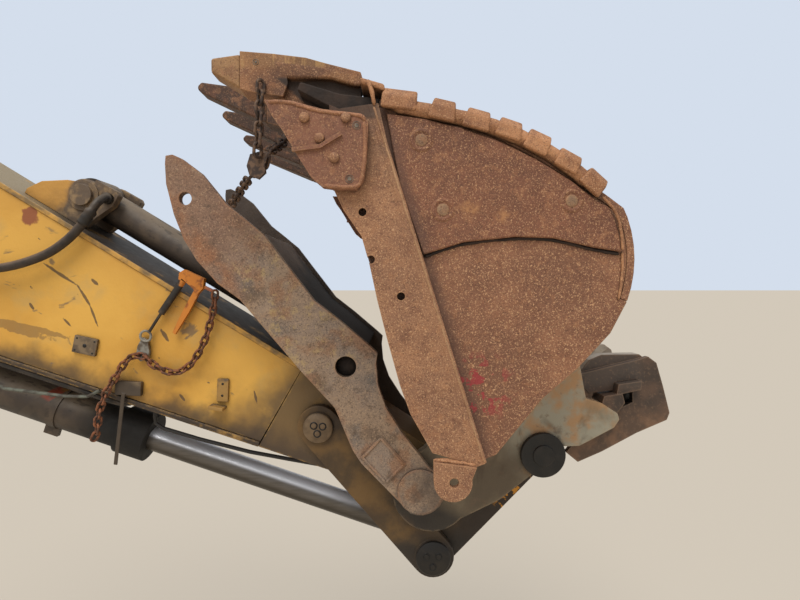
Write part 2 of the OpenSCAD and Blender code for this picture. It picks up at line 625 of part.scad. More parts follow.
// What is drawn between two angles and two distances from the wrapper's outside
function heel_band(a0, a1, near, far, n = 3) = concat(heel_run(a0, a1, near, n), heel_run(a1, a0, far, n));
module heel_shrouds() color(rust) in_nose() both() {
    out = wrapper_half + side_bar_t;
    for (i = [0:shrouds - 1]) {
        s = shroud_table[i];
        slab(wrapper_half - 110, out) polygon(heel_band(s[0], s[1], shroud_seat, shroud_t));
        slab(wrapper_half + wear_t + 0.2, out - 1) polygon(heel_band(s[0] - 0.1, s[1] + 0.1, -s[2], 6));
    }
    // Weld between the shrouds, on the edge of the side plate
    slab(wrapper_half, out - 6) polygon(heel_band(83, 49, -14, saddle_t, 12));
}
module lifting_eyes() color(rust) in_nose() both() difference() {
    slab(wrapper_half + side_bar_t, wrapper_half + side_bar_t + 20) polygon(concat([[20, 262]],
        arc([79, 199], 58, 180, 370, 12), [[150, 245]]));
    rod([82, 199], 14, 0, 900);
}
// Chains from two adapters that meet at a flat hook and run on towards the thumb
chain_side = tooth_y(0) - adapter_w / 2 - chain_half - seat_gap;
grab_y = chain_side + chain_half + seat_gap;
grab_t = 16;
behind = grab_y + grab_t + seat_gap + chain_half;
module bucket_chain() color(rust) in_nose() {
    chain(spaced([[-506, chain_side, 1412], [-510, chain_side, 1340], [-520, chain_side, 1160]]));
    slab(grab_y, grab_y + grab_t) polygon([[-545, 1196], [-510, 1206], [-490, 1190], [-500, 1162],
        [-498, 1140], [-520, 1120], [-548, 1132], [-556, 1160]]);
    chain(spaced([[-520, behind, 1160], [-545, behind, 1140], [-566, behind + 20, 1128],
        [-606, -556, 1124], [-704, -386, 1088]]));
    chain(spaced([[-504, behind, 1164], [-498, behind, 1197], [-494, behind + 22, 1220], [-486, -520, 1272],
        [-470, tooth_y(1) - adapter_w / 2 - chain_half - seat_gap - 12, 1362],
        [-470, tooth_y(1) - adapter_w / 2 - chain_half - seat_gap, 1410]]));
}

// Thumb, drawn along its own length from the nose pin; below the line is its front
thumb_outline = concat([[1602, -1], [1590, -24], [1556, -43], [1469, -68], [1320, -73], [1251, -91],
    [1146, -116], [830, -118], [711, -150], [562, -183], [523, -190], [493, -161], [422, -117], [335, -89],
    [224, -80]], arc([0, 0], 95, -60, -240, 12),
    [[220, 116], [282, 112], [390, 84], [453, 68], [643, 86], [911, 101], [1000, 106], [1103, 137],
    [1219, 146], [1309, 137], [1408, 109], [1517, 62], [1580, 19]]);
module thumb_plates() color(brown) in_thumb() both() difference() {
    slab(thumb_w / 2 - thumb_t, thumb_w / 2) polygon(thumb_outline);
    rod([0, 0], nose_pin_d / 2 + pin_gap, 0, 400);
    rod(thumb_rod_pin, 40, 0, 400);
    rod([1429, 38], 24, 0, 400);
}
spine_path = [[1180, -100], [830, -104], [711, -136], [562, -169]];
module thumb_spine() color(brown) in_thumb()
    slab(-thumb_w / 2 + thumb_t, thumb_w / 2 - thumb_t) polygon(band(spine_path, -spine_t));
hub_r = 87;
module thumb_pads() color(brown) in_thumb() both() {
    slab(thumb_w / 2, thumb_w / 2 + 8) polygon([[263, -13], [117, -21], [101, 88], [244, 103]]);
    rod([0, 0], hub_r, thumb_w / 2, thumb_w / 2 + 10);
}

stick_side_plates();
stick_top_plate();
stick_bottom_plate();
stick_tail_plate();
stick_nose();
boom_pin_boss();
tail_boss();
bucket_cylinder_lugs();
thumb_cylinder_bracket();
stick_pads();
thumb_hose();
grease_line();
stick_chain();
chain_binder();
bucket_cylinder_barrel();
bucket_cylinder_rod();
thumb_cylinder_barrel();
thumb_cylinder_rod();
idler_pin();
idler_links();
power_link();
coupler_plates();
coupler_cross_tubes();
coupler_pins();
latch_plates();
latch_wedges();
bucket_cheeks();
bucket_wrapper();
bucket_hinge_plate();
bucket_side_bars();
bucket_wear_plates();
bucket_lip();
tooth_adapters();
teeth();
side_cutters();
heel_shrouds();
lifting_eyes();
bucket_chain();
thumb_plates();
thumb_spine();
thumb_pads();
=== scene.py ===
import json
import math

import bmesh
import bpy
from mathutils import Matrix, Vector, noise

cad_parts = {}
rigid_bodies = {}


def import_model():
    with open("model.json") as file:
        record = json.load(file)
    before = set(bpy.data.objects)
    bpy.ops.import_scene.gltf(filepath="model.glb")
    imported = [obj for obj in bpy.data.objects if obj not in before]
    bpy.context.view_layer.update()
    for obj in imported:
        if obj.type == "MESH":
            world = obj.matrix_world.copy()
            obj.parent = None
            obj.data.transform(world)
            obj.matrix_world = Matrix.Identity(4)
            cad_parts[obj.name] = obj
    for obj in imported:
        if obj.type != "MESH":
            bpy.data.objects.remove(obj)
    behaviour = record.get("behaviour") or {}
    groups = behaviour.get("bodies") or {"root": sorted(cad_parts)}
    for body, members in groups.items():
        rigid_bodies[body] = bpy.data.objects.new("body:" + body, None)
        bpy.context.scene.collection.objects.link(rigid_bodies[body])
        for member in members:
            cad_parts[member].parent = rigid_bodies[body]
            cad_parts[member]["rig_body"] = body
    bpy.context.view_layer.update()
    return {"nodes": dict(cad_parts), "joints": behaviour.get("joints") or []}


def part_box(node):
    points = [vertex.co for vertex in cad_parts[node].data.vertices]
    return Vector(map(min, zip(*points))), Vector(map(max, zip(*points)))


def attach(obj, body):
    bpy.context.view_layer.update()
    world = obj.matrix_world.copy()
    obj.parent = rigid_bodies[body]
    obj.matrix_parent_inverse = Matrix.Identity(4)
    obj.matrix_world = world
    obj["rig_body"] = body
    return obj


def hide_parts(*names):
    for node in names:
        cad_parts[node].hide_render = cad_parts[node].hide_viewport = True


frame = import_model()

# Viewpoint: an eye at chest height, two and a quarter metres to the near side of the
# nose pin, looking straight across the stick with a wide lens.
def placed(name, data):
    """A new object in the scene that holds the data."""
    made = bpy.data.objects.new(name, data)
    bpy.context.scene.collection.objects.link(made)
    return made


nose_pin = Vector(next(j for j in frame["joints"] if j["name"] == "bucket_curl")["pos_m"])
tilt = math.atan2(-nose_pin.z, nose_pin.x)
eye_from_pin = Vector((-0.089, -2.25, 0.784))
looks_down = 1.49
eye = bpy.data.cameras.new("eye")
eye.lens = 22.5
eye.sensor_width = 36
eye.shift_x = 0.00375
eye.clip_end = 900
eye_object = placed("eye", eye)
eye_object.location = nose_pin + eye_from_pin
eye_object.rotation_euler = (math.radians(90 - looks_down), 0, 0)
bpy.context.scene.camera = eye_object
bpy.context.scene.view_settings.view_transform = "Standard"


# Stick: a welded box of yellow-painted plate between the boom pin and a cast nose. The
# plates' edges stand proud of the sides, and grime has settled along them.
def on_stick(along, across, above):
    """A point given in metres along and above the stick, in the frame of the part."""
    return Vector((along * math.cos(tilt) + above * math.sin(tilt), across,
                   above * math.cos(tilt) - along * math.sin(tilt)))


def tone(red, green, blue):
    """A colour of the material sample, in the shader's linear numbers."""
    def linear(c):
        c /= 255
        return c / 12.92 if c <= 0.04045 else ((c + 0.055) / 1.055) ** 2.4
    return (linear(red), linear(green), linear(blue), 1)


class Flow:
    """A number, colour or vector on its way through a material: maths on it adds nodes."""
    def __init__(self, tree, socket):
        self.tree = tree
        self.socket = socket

    def node(self, kind, settings, values, out=0):
        made = self.tree.nodes.new(kind)
        for name, value in settings.items():
            setattr(made, name, value)
        for key, value in values.items():
            if isinstance(value, Flow):
                self.tree.links.new(value.socket, made.inputs[key])
            else:
                made.inputs[key].default_value = value
        return Flow(self.tree, made.outputs[out] if len(made.outputs) else None)

    def maths(self, operation, first, second):
        return self.node("ShaderNodeMath", {"operation": operation}, {0: first, 1: second})

    def __add__(self, other):
        return self.maths("ADD", self, other)

    __radd__ = __add__

    def __sub__(self, other):
        return self.maths("SUBTRACT", self, other)

    def __rsub__(self, other):
        return self.maths("SUBTRACT", other, self)

    def __mul__(self, other):
        return self.maths("MULTIPLY", self, other)

    __rmul__ = __mul__

    def most(self, other):
        return self.maths("MAXIMUM", self, other)

    def size(self):
        return self.node("ShaderNodeMath", {"operation": "ABSOLUTE"}, {0: self})

    def rise(self, low, high):
        """From 0 at low to 1 at high, eased at both ends; low may be the larger."""
        return self.node("ShaderNodeMapRange", {"interpolation_type": "SMOOTHSTEP"},
                         {"Value": self, "From Min": low, "From Max": high})

    def part(self, axis):
        return self.node("ShaderNodeSeparateXYZ", {}, {0: self}, axis)

    def stretch(self, x, y, z):
        return self.node("ShaderNodeVectorMath", {"operation": "MULTIPLY"}, {0: self, 1: (x, y, z)})

    def moved(self, x, y, z):
        return self.node("ShaderNodeVectorMath", {"operation": "ADD"}, {0: self, 1: (x, y, z)})

    def length(self):
        return self.node("ShaderNodeVectorMath", {"operation": "LENGTH"}, {0: self}, "Value")

    def upward(self):
        """1 where the surface faces the sky, -1 where it faces the ground."""
        return self.node("ShaderNodeTexCoord", {}, {}, "Normal").part(2)

    def grain(self, scale, detail=3, rough=0.55, twist=0.0):
        return self.node("ShaderNodeTexNoise", {}, {
            "Vector": self, "Scale": scale, "Detail": detail, "Roughness": rough, "Distortion": twist})

    def blend(self, colour, other, amount):
        return self.node("ShaderNodeMix", {"data_type": "RGBA"}, {0: amount, 6: colour, 7: other}, 2)

    def edges(self, width):
        """1 on edges and corners within the width, 0 on open faces."""
        rounded = self.node("ShaderNodeBevel", {"samples": 4}, {"Radius": width})
        flat = self.node("ShaderNodeNewGeometry", {}, {}, "Normal")
        same = self.node("ShaderNodeVectorMath", {"operation": "DOT_PRODUCT"}, {0: rounded, 1: flat}, "Value")
        return (1 - same).rise(0.01, 0.16)

    def hollows(self, reach):
        """1 deep in corners and gaps, 0 in the open."""
        open_sky = self.node("ShaderNodeAmbientOcclusion", {"samples": 4}, {"Distance": reach}, "AO")
        return 1 - open_sky

    def mottle(self, first, second, scale, detail, low, high):
        """Patches of two tones, the second where the grain is above high."""
        return self.blend(first, second, self.grain(scale, detail).rise(low, high))

    def dirtied_and_shaded(self, colour, dark, reach, low, high, share):
        """A colour with dark dirt and painted shade in the corners and gaps."""
        return self.blend(colour, dark, self.hollows(reach).rise(low, high) * share)


def emptied(owner):
    """The start of new nodes in a material or in the world, where none are left."""
    owner.use_nodes = True
    owner.node_tree.nodes.clear()
    return Flow(owner.node_tree, None)


def finish(name, recipe):
    """A material from a recipe that turns places on the object into colour, roughness,
    metal and height, where height is in metres."""
    material = bpy.data.materials.new(name)
    at = emptied(material).node("ShaderNodeTexCoord", {}, {}, "Object")
    colour, rough, metal, height = recipe(at)
    bump = at.node("ShaderNodeBump", {}, {"Height": height, "Distance": 1.0, "Strength": 0.9})
    surface = at.node("ShaderNodeBsdfPrincipled", {}, {
        "Base Color": colour, "Roughness": rough, "Metallic": metal, "Normal": bump})
    at.node("ShaderNodeOutputMaterial", {}, {"Surface": surface})
    return material


def soften(piece, width, turns=3, angle=20):
    """Rounds a piece's edges as wear leaves them, where faces meet at more than the angle."""
    bevel = piece.modifiers.new("rounded", "BEVEL")
    bevel.width = width
    bevel.segments = turns
    bevel.limit_method = "ANGLE"
    bevel.angle_limit = math.radians(angle)
    piece.modifiers.new("flat_faces", "WEIGHTED_NORMAL").keep_sharp = True


def worn(node, edge, material, turns=2):
    """A node's own form with its edges rounded as wear leaves them; it stands for the node."""
    plain = frame["nodes"][node]
    piece = placed("worn_" + node, plain.data.copy())
    shape = bmesh.new()
    shape.from_mesh(piece.data)
    bmesh.ops.remove_doubles(shape, verts=shape.verts, dist=2e-5)
    bmesh.ops.dissolve_limit(shape, angle_limit=math.radians(0.6), verts=shape.verts, edges=shape.edges)
    shape.to_mesh(piece.data)
    shape.free()
    piece.data.shade_smooth()
    soften(piece, edge, turns, 28)
    piece.data.materials.clear()
    piece.data.materials.append(material)
    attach(piece, plain["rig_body"])
    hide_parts(node)
    return piece


def coat(node, material):
    """Gives a node that stays as it is its finish."""
    data = frame["nodes"][node].data
    data.materials.clear()
    data.materials.append(material)


def along_stick(at):
    return at.part(0) * math.cos(tilt) - at.part(2) * math.sin(tilt)


def above_stick(at):
    return at.part(0) * math.sin(tilt) + at.part(2) * math.cos(tilt)


def stroke(at, start, end, width):
    """1 on a smear between two places along and above the stick, 0 away from it."""
    reach = (end[0] - start[0], end[1] - start[1])
    length = math.hypot(*reach)
    along = along_stick(at) - start[0]
    above = above_stick(at) - start[1]
    forward = (along * (reach[0] / length) + above * (reach[1] / length)) * (1 / length)
    aside = (above * (reach[0] / length) - along * (reach[1] / length)).size()
    oval = (forward - 0.5).size() * 2
    rim = oval * oval + aside * (1 / width) * (aside * (1 / width)) + (at.grain(30, 4) - 0.5) * 2.6
    return rim.rise(1.0, 0.7)


def yellow_recipe(at):
    along = along_stick(at)
    above = above_stick(at)
    colour = at.mottle(tone(228, 175, 78), tone(212, 156, 62), 2.2, 4, 0.35, 0.65)
    colour = at.blend(colour, tone(198, 162, 96), at.moved(3, 1, 7).grain(6, 5).rise(0.5, 0.72) * 0.6)
    colour = at.blend(colour, tone(168, 120, 56), at.moved(7, 2, 1).grain(3.4, 5).rise(0.54, 0.72) * 0.45)
    # The side is browner towards its top
    colour = at.blend(colour, tone(172, 124, 60), above.rise(-0.05, 0.3) * 0.3)
    # Grime along the lower plate and over the nose
    low_edge = above - (along * 0.194 - 0.71)
    soil = (low_edge + at.grain(7, 5) * 0.2).rise(0.24, 0.11)
    nose_soil = (along - above * 0.35 + at.grain(4, 5) * 0.3).rise(2.45, 2.62) * at.grain(7, 5).rise(0.15, 0.4)
    spread = low_edge.rise(0.34, 0.0) * along.rise(1.5, 2.4) * at.moved(2, 2, 2).grain(5, 5).rise(0.4, 0.6)
    colour = at.blend(colour, tone(84, 69, 53), nose_soil.most(spread * 0.85) * 0.86)
    colour = at.blend(colour, tone(70, 56, 44), soil * 0.88)
    # Dark smears that slant across the side, and the long gouges
    smear = at.stretch(5, 1, 9).grain(1.0, 4, 0.55, 1.2).rise(0.64, 0.7)
    colour = at.blend(colour, tone(116, 98, 78), smear * 0.8)
    specks = at.moved(2, 5, 1).grain(30, 4).rise(0.7, 0.73)
    colour = at.blend(colour, tone(92, 74, 60), specks * 0.9)
    gouge = stroke(at, (1.3, 0.0), (1.475, -0.012), 0.007)
    for start, end, width in (((1.465, -0.006), (1.565, -0.062), 0.006), ((1.555, -0.056), (1.63, -0.12), 0.005),
                              ((1.51, 0.042), (1.552, 0.03), 0.008), ((1.335, -0.175), (1.365, -0.19), 0.006),
                              ((1.49, -0.162), (1.535, -0.176), 0.005), ((2.33, -0.035), (2.37, -0.08), 0.005),
                              ((2.06, -0.2), (2.10, -0.215), 0.006), ((1.865, -0.002), (1.92, -0.03), 0.009)):
        gouge = gouge.most(stroke(at, start, end, width))
    colour = at.blend(colour, tone(88, 68, 50), gouge * 0.85)
    drag = stroke(at, (1.22, -0.31), (1.58, -0.212), 0.013).most(stroke(at, (1.17, -0.335), (1.5, -0.26), 0.02))
    colour = at.blend(colour, tone(120, 92, 58), drag * 0.6)
    # One patch where the paint is off and the steel has rusted
    from_patch = at.stretch(1, 0, 1).moved(-1.083, 0, 0.447).length()
    patch = (from_patch + at.grain(26, 3) * 0.05).rise(0.066, 0.055)
    colour = at.blend(colour, tone(150, 88, 52), patch)
    edge = at.edges(0.012) * at.grain(30, 3).rise(0.42, 0.6)
    colour = at.blend(colour, tone(226, 176, 90), edge * 0.5)
    # Painted shade and dark dirt in the corners and gaps
    deep = at.hollows(0.12).rise(0.35, 0.9)
    colour = at.blend(colour, tone(48, 38, 30), deep * 0.85)
    rough = at.grain(40, 3) * 0.25 + 0.45
    height = at.grain(60, 3) * 0.0011 + specks * -0.0004 + gouge * -0.0005
    return colour, rough, 0.0, height


yellow = finish("yellow_paint", yellow_recipe)
for name in ("stick_side_plates", "stick_tail_plate", "stick_nose", "boom_pin_boss", "tail_boss",
             "bucket_cylinder_lugs"):
    worn(name, 0.003, yellow)


# Bracket of the thumb's cylinder: two yellow ears welded on the stick's top, painted
# dark from the pin forwards and along the top as the shade there.
def bracket_recipe(at):
    colour = at.mottle(tone(200, 148, 70), tone(176, 130, 64), 8, 4, 0.35, 0.65)
    # Painted shade: forward of the pin and along the top the ears are dark
    bracket_shade = (along_stick(at) + at.grain(14, 4) * 0.07).rise(1.235, 1.275)
    bracket_shade = bracket_shade.most((above_stick(at) + at.grain(20, 3) * 0.02).rise(0.388, 0.40))
    dark = at.mottle(tone(92, 78, 66), tone(150, 124, 90), 22, 4, 0.45, 0.7)
    colour = at.blend(colour, dark, bracket_shade * 0.95)
    # Dark dirt and painted shade in the corners and gaps
    colour = at.dirtied_and_shaded(colour, tone(40, 33, 28), 0.08, 0.3, 0.85, 0.55)
    return colour, at.grain(30, 3) * 0.3 + 0.45, 0.0, at.grain(50, 4) * 0.002


worn("thumb_cylinder_bracket", 0.006, finish("bracket_with_painted_shade", bracket_recipe), 3)


# Edge plates of the stick: the same paint, but rubbed through and caked with grey dust
# and old grease on top.
def plate_recipe(at):
    colour = at.mottle(tone(206, 156, 74), tone(128, 104, 70), 12, 5, 0.38, 0.6)
    up = at.upward().rise(0.3, 0.8)
    forward = (along_stick(at) + at.grain(5, 4) * 0.3).rise(1.1, 1.6)
    dust = at.blend(tone(150, 134, 106), tone(60, 52, 46), forward)
    colour = at.blend(colour, dust, up * at.grain(11, 4).rise(0.2, 0.42))
    low_edge = above_stick(at) - (along_stick(at) * 0.194 - 0.71)
    colour = at.blend(colour, tone(60, 48, 38), low_edge.rise(0.1, 0.05) * at.grain(9, 5).rise(0.26, 0.46))
    edge = at.edges(0.012) * at.grain(18, 4).rise(0.42, 0.56)
    colour = at.blend(colour, tone(218, 168, 84), edge * 0.85)
    # Dark dirt and painted shade in the corners and gaps
    colour = at.dirtied_and_shaded(colour, tone(40, 33, 28), 0.1, 0.3, 0.85, 0.9)
    return colour, at.grain(30, 3) * 0.3 + 0.45, 0.0, at.grain(70, 4) * 0.0016


plate_paint = finish("rubbed_yellow_paint", plate_recipe)
for name in ("stick_top_plate", "stick_bottom_plate"):
    worn(name, 0.004, plate_paint)


# Pads and the clamp: small pieces of flat bar welded to the stick's near side, the paint
# half gone from them.
def pad_recipe(at):
    paint = along_stick(at).rise(2.15, 2.17) * 0.75
    bare = at.mottle(tone(96, 80, 62), tone(126, 106, 80), 26, 4, 0.4, 0.6)
    clamp = above_stick(at).rise(-0.235, -0.26)
    bare = at.blend(bare, tone(66, 55, 45), clamp * 0.9)
    colour = at.blend(bare, tone(176, 134, 66), paint * at.moved(1, 1, 1).grain(22, 4).rise(0.35, 0.55))
    # Painted shade and dark dirt in the corners and gaps
    colour = at.blend(colour, tone(48, 40, 33), at.hollows(0.05).rise(0.2, 0.8))
    return colour, 0.6, 0.0, at.grain(90, 3) * 0.001


worn("stick_pads", 0.0025, finish("bare_pads", pad_recipe))


# Hose: a stiff rubber hose of 36 mm, which feeds the thumb's cylinder. It hangs in a long
# bend between two steel elbows and is dull with dust on top.
def rubber_recipe(at):
    dust = at.grain(24, 4).rise(0.35, 0.7)
    up = at.upward().rise(-0.1, 0.95)
    colour = at.blend(tone(44, 37, 33), tone(122, 100, 80), (up * 0.7 + dust * 0.2))
    return colour, 0.62, 0.0, at.grain(160, 2) * 0.0006


def smooth(points, count):
    """Evenly spaced points on a smooth curve through the given ones."""
    fine = []
    for i in range(len(points) - 1):
        a, b, c, d = (points[max(min(i + k, len(points) - 1), 0)] for k in (-1, 0, 1, 2))
        for k in range(20):
            t = k / 20
            fine.append(0.5 * ((2 * b) + (c - a) * t + (2 * a - 5 * b + 4 * c - d) * t * t
                               + (3 * b - a - 3 * c + d) * t ** 3))
    fine.append(points[-1])
    far = [0.0]
    for a, b in zip(fine, fine[1:]):
        far.append(far[-1] + (b - a).length)
    out = []
    k = 0
    for i in range(count):
        goal = far[-1] * i / (count - 1)
        while k < len(far) - 2 and far[k + 1] < goal:
            k += 1
        out.append(fine[k].lerp(fine[k + 1], (goal - far[k]) / max(far[k + 1] - far[k], 1e-9)))
    return out


def added(name, body, shape, material, smooth_faces=True):
    """A new piece that rides on a body and takes its finish from a slot."""
    mesh = bpy.data.meshes.new(name)
    bmesh.ops.recalc_face_normals(shape, faces=shape.faces)
    shape.to_mesh(mesh)
    shape.free()
    piece = placed(name, mesh)
    if smooth_faces:
        mesh.shade_smooth()
    mesh.materials.append(material)
    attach(piece, body)
    return piece


def skin(shape, rings):
    """Joins rings of corners to a closed form, with a face on the first and on the last."""
    for near, far in zip(rings, rings[1:]):
        for k in range(len(near)):
            m = (k + 1) % len(near)
            shape.faces.new((near[k], near[m], far[m], far[k]))
    shape.faces.new(rings[0])
    shape.faces.new(list(reversed(rings[-1])))


def round_ring(shape, centre, side, lift, radius, sides):
    return [shape.verts.new(centre + (side * math.cos(t) + lift * math.sin(t)) * radius)
            for t in (math.tau * k / sides for k in range(sides))]


def tube(shape, points, radii, sides=16):
    """Adds a closed round tube that follows points; radii has one radius a point."""
    rings = []
    for i, point in enumerate(points):
        way = (points[min(i + 1, len(points) - 1)] - points[max(i - 1, 0)]).normalized()
        side = way.cross(Vector((0.02, 1, 0.03))).normalized()
        rings.append(round_ring(shape, point, side, side.cross(way), radii[i], sides))
    skin(shape, rings)


hose_route = [on_stick(along / 1000, across / 1000, above / 1000) for along, across, above in (
    (385, -165.3, -245), (385, -176, -245), (398, -193, -247), (440, -199, -251), (620, -207, -262),
    (800, -217, -240), (950, -222, -200), (1080, -224, -155), (1180, -222, -100), (1262, -218, -30),
    (1334, -212, 60), (1375, -208, 150), (1394, -206, 230), (1398, -202, 290), (1396, -190, 330),
    (1390, -164, 352), (1384, -138, 360), (1384, -114, 360))]
hose_line = smooth(hose_route[3:14], 36)
hose_curve = bpy.data.curves.new("thumb_hose", "CURVE")
hose_curve.dimensions = "3D"
hose_curve.bevel_depth = 0.018
hose_curve.bevel_resolution = 5
hose_curve.use_fill_caps = True
hose_spline = hose_curve.splines.new("POLY")
hose_spline.points.add(len(hose_line) - 1)
for knot, point in zip(hose_spline.points, hose_line):
    knot.co = (*point, 1)
hose_spline.use_smooth = True
hose = placed("feed_hose", hose_curve)
rubber = finish("dusty_rubber", rubber_recipe)
hose_curve.materials.append(rubber)
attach(hose, "stick")
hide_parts("thumb_hose")


# Elbows of the hose: steel tube bent into each port, with a crimped sleeve on the hose
# and a nut, all coated with grease like the pin beside them.
def grease_recipe(at):
    up = at.upward().rise(0.1, 0.9)
    colour = at.mottle(tone(38, 32, 27), tone(70, 58, 47), 18, 4, 0.4, 0.7)
    colour = at.blend(colour, tone(104, 90, 74), up * 0.55)
    colour = at.blend(colour, tone(110, 92, 74), at.edges(0.006) * 0.4)
    # Dark dirt and painted shade in the corners and gaps
    colour = at.dirtied_and_shaded(colour, tone(18, 14, 12), 0.03, 0.3, 0.85, 0.8)
    return colour, at.grain(30, 3) * 0.3 + 0.4, 0.0, at.grain(90, 4) * 0.0009


grease = finish("grease_coated_steel", grease_recipe)
elbows = bmesh.new()
short_sleeve = [0.0235, 0.022]
long_sleeve = [0.0235, 0.024, 0.0215, 0.0235, 0.0235, 0.021, 0.0235, 0.0235]
elbow_pipe = 0.0165
for points, sleeve in ((hose_route[3::-1], short_sleeve), (hose_route[12:], long_sleeve)):
    tube(elbows, smooth(points, 22), (sleeve + [elbow_pipe] * 22)[:19] + [0.024] * 3)
elbow_pieces = added("hose_elbows", "stick", elbows, grease)
hose_length = sum((b - a).length for a, b in zip(hose_line, hose_line[1:]))


# Pipe: thin steel pipe clipped under the stick, grey-green paint dulled by dust.
def pipe_recipe(at):
    colour = at.mottle(tone(104, 108, 96), tone(66, 60, 52), 30, 3, 0.4, 0.65)
    colour = at.blend(colour, tone(38, 33, 29), along_stick(at).rise(1.78, 1.9))
    return colour, 0.5, 0.0, at.grain(120, 2) * 0.0004


coat("grease_line", finish("thin_pipe", pipe_recipe))
drain = bmesh.new()
drain_route = [on_stick(along, -0.148, along * 0.194 - 0.71 + drop) for along, drop in (
    (0.98, 0.02), (1.0, -0.014), (1.3, -0.014), (1.6, -0.014), (1.86, -0.014), (1.9, 0.02))]
tube(drain, smooth(drain_route, 40), [0.013] * 40, 14)
added("drain_pipe", "stick", drain, grease)


# Cylinders: turned steel tubes in grimy dark paint, with a screwed gland at the rod's end
# and a polished rod that has dust on its film of oil.
def barrel_recipe(at):
    up = at.upward()
    colour = at.mottle(tone(62, 51, 42), tone(88, 73, 58), 9, 5, 0.35, 0.65)
    # Dust and a painted reflection of the sky lighten the top
    colour = at.blend(colour, tone(142, 126, 106), (up + at.grain(12, 4) * 0.5).rise(0.45, 1.2) * 0.8)
    # Painted shade darkens the underside
    colour = at.blend(colour, tone(20, 16, 14), up.rise(-0.1, -0.8) * 0.6)
    # Dark dirt and painted shade in the corners and gaps
    colour = at.dirtied_and_shaded(colour, tone(20, 16, 14), 0.12, 0.25, 0.85, 0.8)
    streak = at.stretch(2, 8, 2).grain(7, 3).rise(0.58, 0.64)
    colour = at.blend(colour, tone(36, 29, 24), streak * 0.5)
    # The gland end under the stick is black with oil; on the band are yellow and red remains
    low = above_stick(at).rise(-0.3, -0.33)
    oily = low * (along_stick(at) + at.grain(9, 4) * 0.1).rise(1.7, 1.86)
    colour = at.blend(colour, tone(17, 15, 13), oily * 0.95)
    band = low * (along_stick(at) - 1.535 - (above_stick(at) + 0.55) * 0.46).size().rise(0.026, 0.02)
    label = at.blend(tone(150, 62, 40), tone(150, 112, 52), above_stick(at).rise(-0.50, -0.485))
    label = at.blend(label, tone(70, 58, 46), above_stick(at).rise(-0.535, -0.55))
    colour = at.blend(colour, label, band * at.grain(26, 3).rise(0.3, 0.45) * 0.85)
    return colour, at.grain(22, 3) * 0.3 + 0.42 + oily * 0.22, 0.0, at.grain(80, 3) * 0.0008


def rod_recipe(at):
    """Chrome under a film of oil and dust, with a painted reflection of the sky on its upper side and painted shade
    below.
    """
    up = at.upward()
    streak = at.stretch(3, 30, 30).grain(4, 4).rise(0.35, 0.7)
    colour = at.blend(tone(104, 98, 92), tone(84, 76, 66), streak * 0.6)
    # A painted reflection of the sky along the upper side
    colour = at.blend(colour, tone(226, 229, 238), up.rise(0.3, 0.66) * up.rise(1.0, 0.96))
    # Painted shade on the underside
    colour = at.blend(colour, tone(52, 44, 34), up.rise(0.05, -0.5) * 0.9)
    return colour, streak * 0.12 + 0.3, 0.35, at.grain(200, 2) * 0.0001


barrel_paint = finish("grimy_barrel", barrel_recipe)
rod_finish = finish("polished_rod", rod_recipe)
for name in ("bucket_cylinder_barrel", "thumb_cylinder_barrel"):
    worn(name, 0.004, barrel_paint)
for name in ("bucket_cylinder_rod", "thumb_cylinder_rod"):
    worn(name, 0.003, rod_finish)


# Links: flame-cut plate, once yellow, now brown with soil and dark with grease at the
# pins.
def from_nose(at):
    """How far right of, across and above the nose pin a place is, in metres."""
    place = at.moved(*(-nose_pin))
    return place.part(0), place.part(1), place.part(2)


def link_recipe(at):
    right, _, up = from_nose(at)
    colour = at.mottle(tone(76, 58, 36), tone(110, 82, 44), 7, 5, 0.4, 0.62)
    colour = at.blend(colour, tone(62, 47, 34), at.grain(4, 4).rise(0.45, 0.66) * 0.85)
    # The power link is black with grease, with a few flakes of yellow left
    oily = (right + at.grain(6, 4) * 0.2).rise(0.15, 0.3)
    colour = at.blend(colour, tone(46, 34, 24), oily * 0.9)
    flakes = right.rise(0.3, 0.36) * at.moved(1, 2, 3).grain(18, 4).rise(0.54, 0.58)
    colour = at.blend(colour, tone(206, 138, 36), flakes * right.rise(0.52, 0.44))
    pin_soot = (up + at.grain(6, 3) * 0.08).rise(-0.19, -0.26)
    colour = at.blend(colour, tone(42, 35, 29), pin_soot * 0.92)
    # Dark dirt and painted shade in the corners and gaps
    colour = at.dirtied_and_shaded(colour, tone(20, 16, 13), 0.14, 0.3, 0.85, 0.85)
    colour = at.blend(colour, tone(136, 106, 72), at.edges(0.008) * 0.3)
    return colour, at.grain(25, 3) * 0.3 + 0.45, 0.0, at.grain(70, 4) * 0.0014


link_finish = finish("soiled_links", link_recipe)
for name in ("idler_links", "power_link"):
    worn(name, 0.005, link_finish)


# Pins and their caps: plain round steel, black with grease and dust. Three bolts hold
# each cap, in the recesses that a socket needs, drawn as rings of painted black shade.
def by_nose(x, y, z):
    """A point given in millimetres from the middle of the nose pin."""
    return nose_pin + Vector((x, y, z)) / 1000


def turn(shape, foot, out, profile, sides=40):
    """Adds a turned form: profile has pairs of radius and height above the foot, in mm."""
    out = Vector(out).normalized()
    side = out.orthogonal().normalized()
    skin(shape, [round_ring(shape, foot + out * height / 1000, side, out.cross(side), radius / 1000, sides)
                 for radius, height in profile])


worn("idler_pin", 0.004, grease)
worn("coupler_pins", 0.006, finish("black_pins", lambda at: (
    at.blend(at.mottle(tone(18, 16, 14), tone(36, 31, 27), 16, 5, 0.4, 0.7), tone(70, 60, 50), at.edges(0.006) * 0.4),
    0.5, 0.0, at.grain(90, 4) * 0.0009)), 3)


def tan_recipe(at):
    colour = at.mottle(tone(96, 76, 54), tone(120, 98, 72), 20, 4, 0.4, 0.65)
    # Painted shade and dark dirt in the bolts' recesses
    colour = at.blend(colour, tone(24, 20, 17), at.hollows(0.012).rise(0.25, 0.7))
    return colour, 0.55, 0.0, at.grain(90, 4) * 0.0007


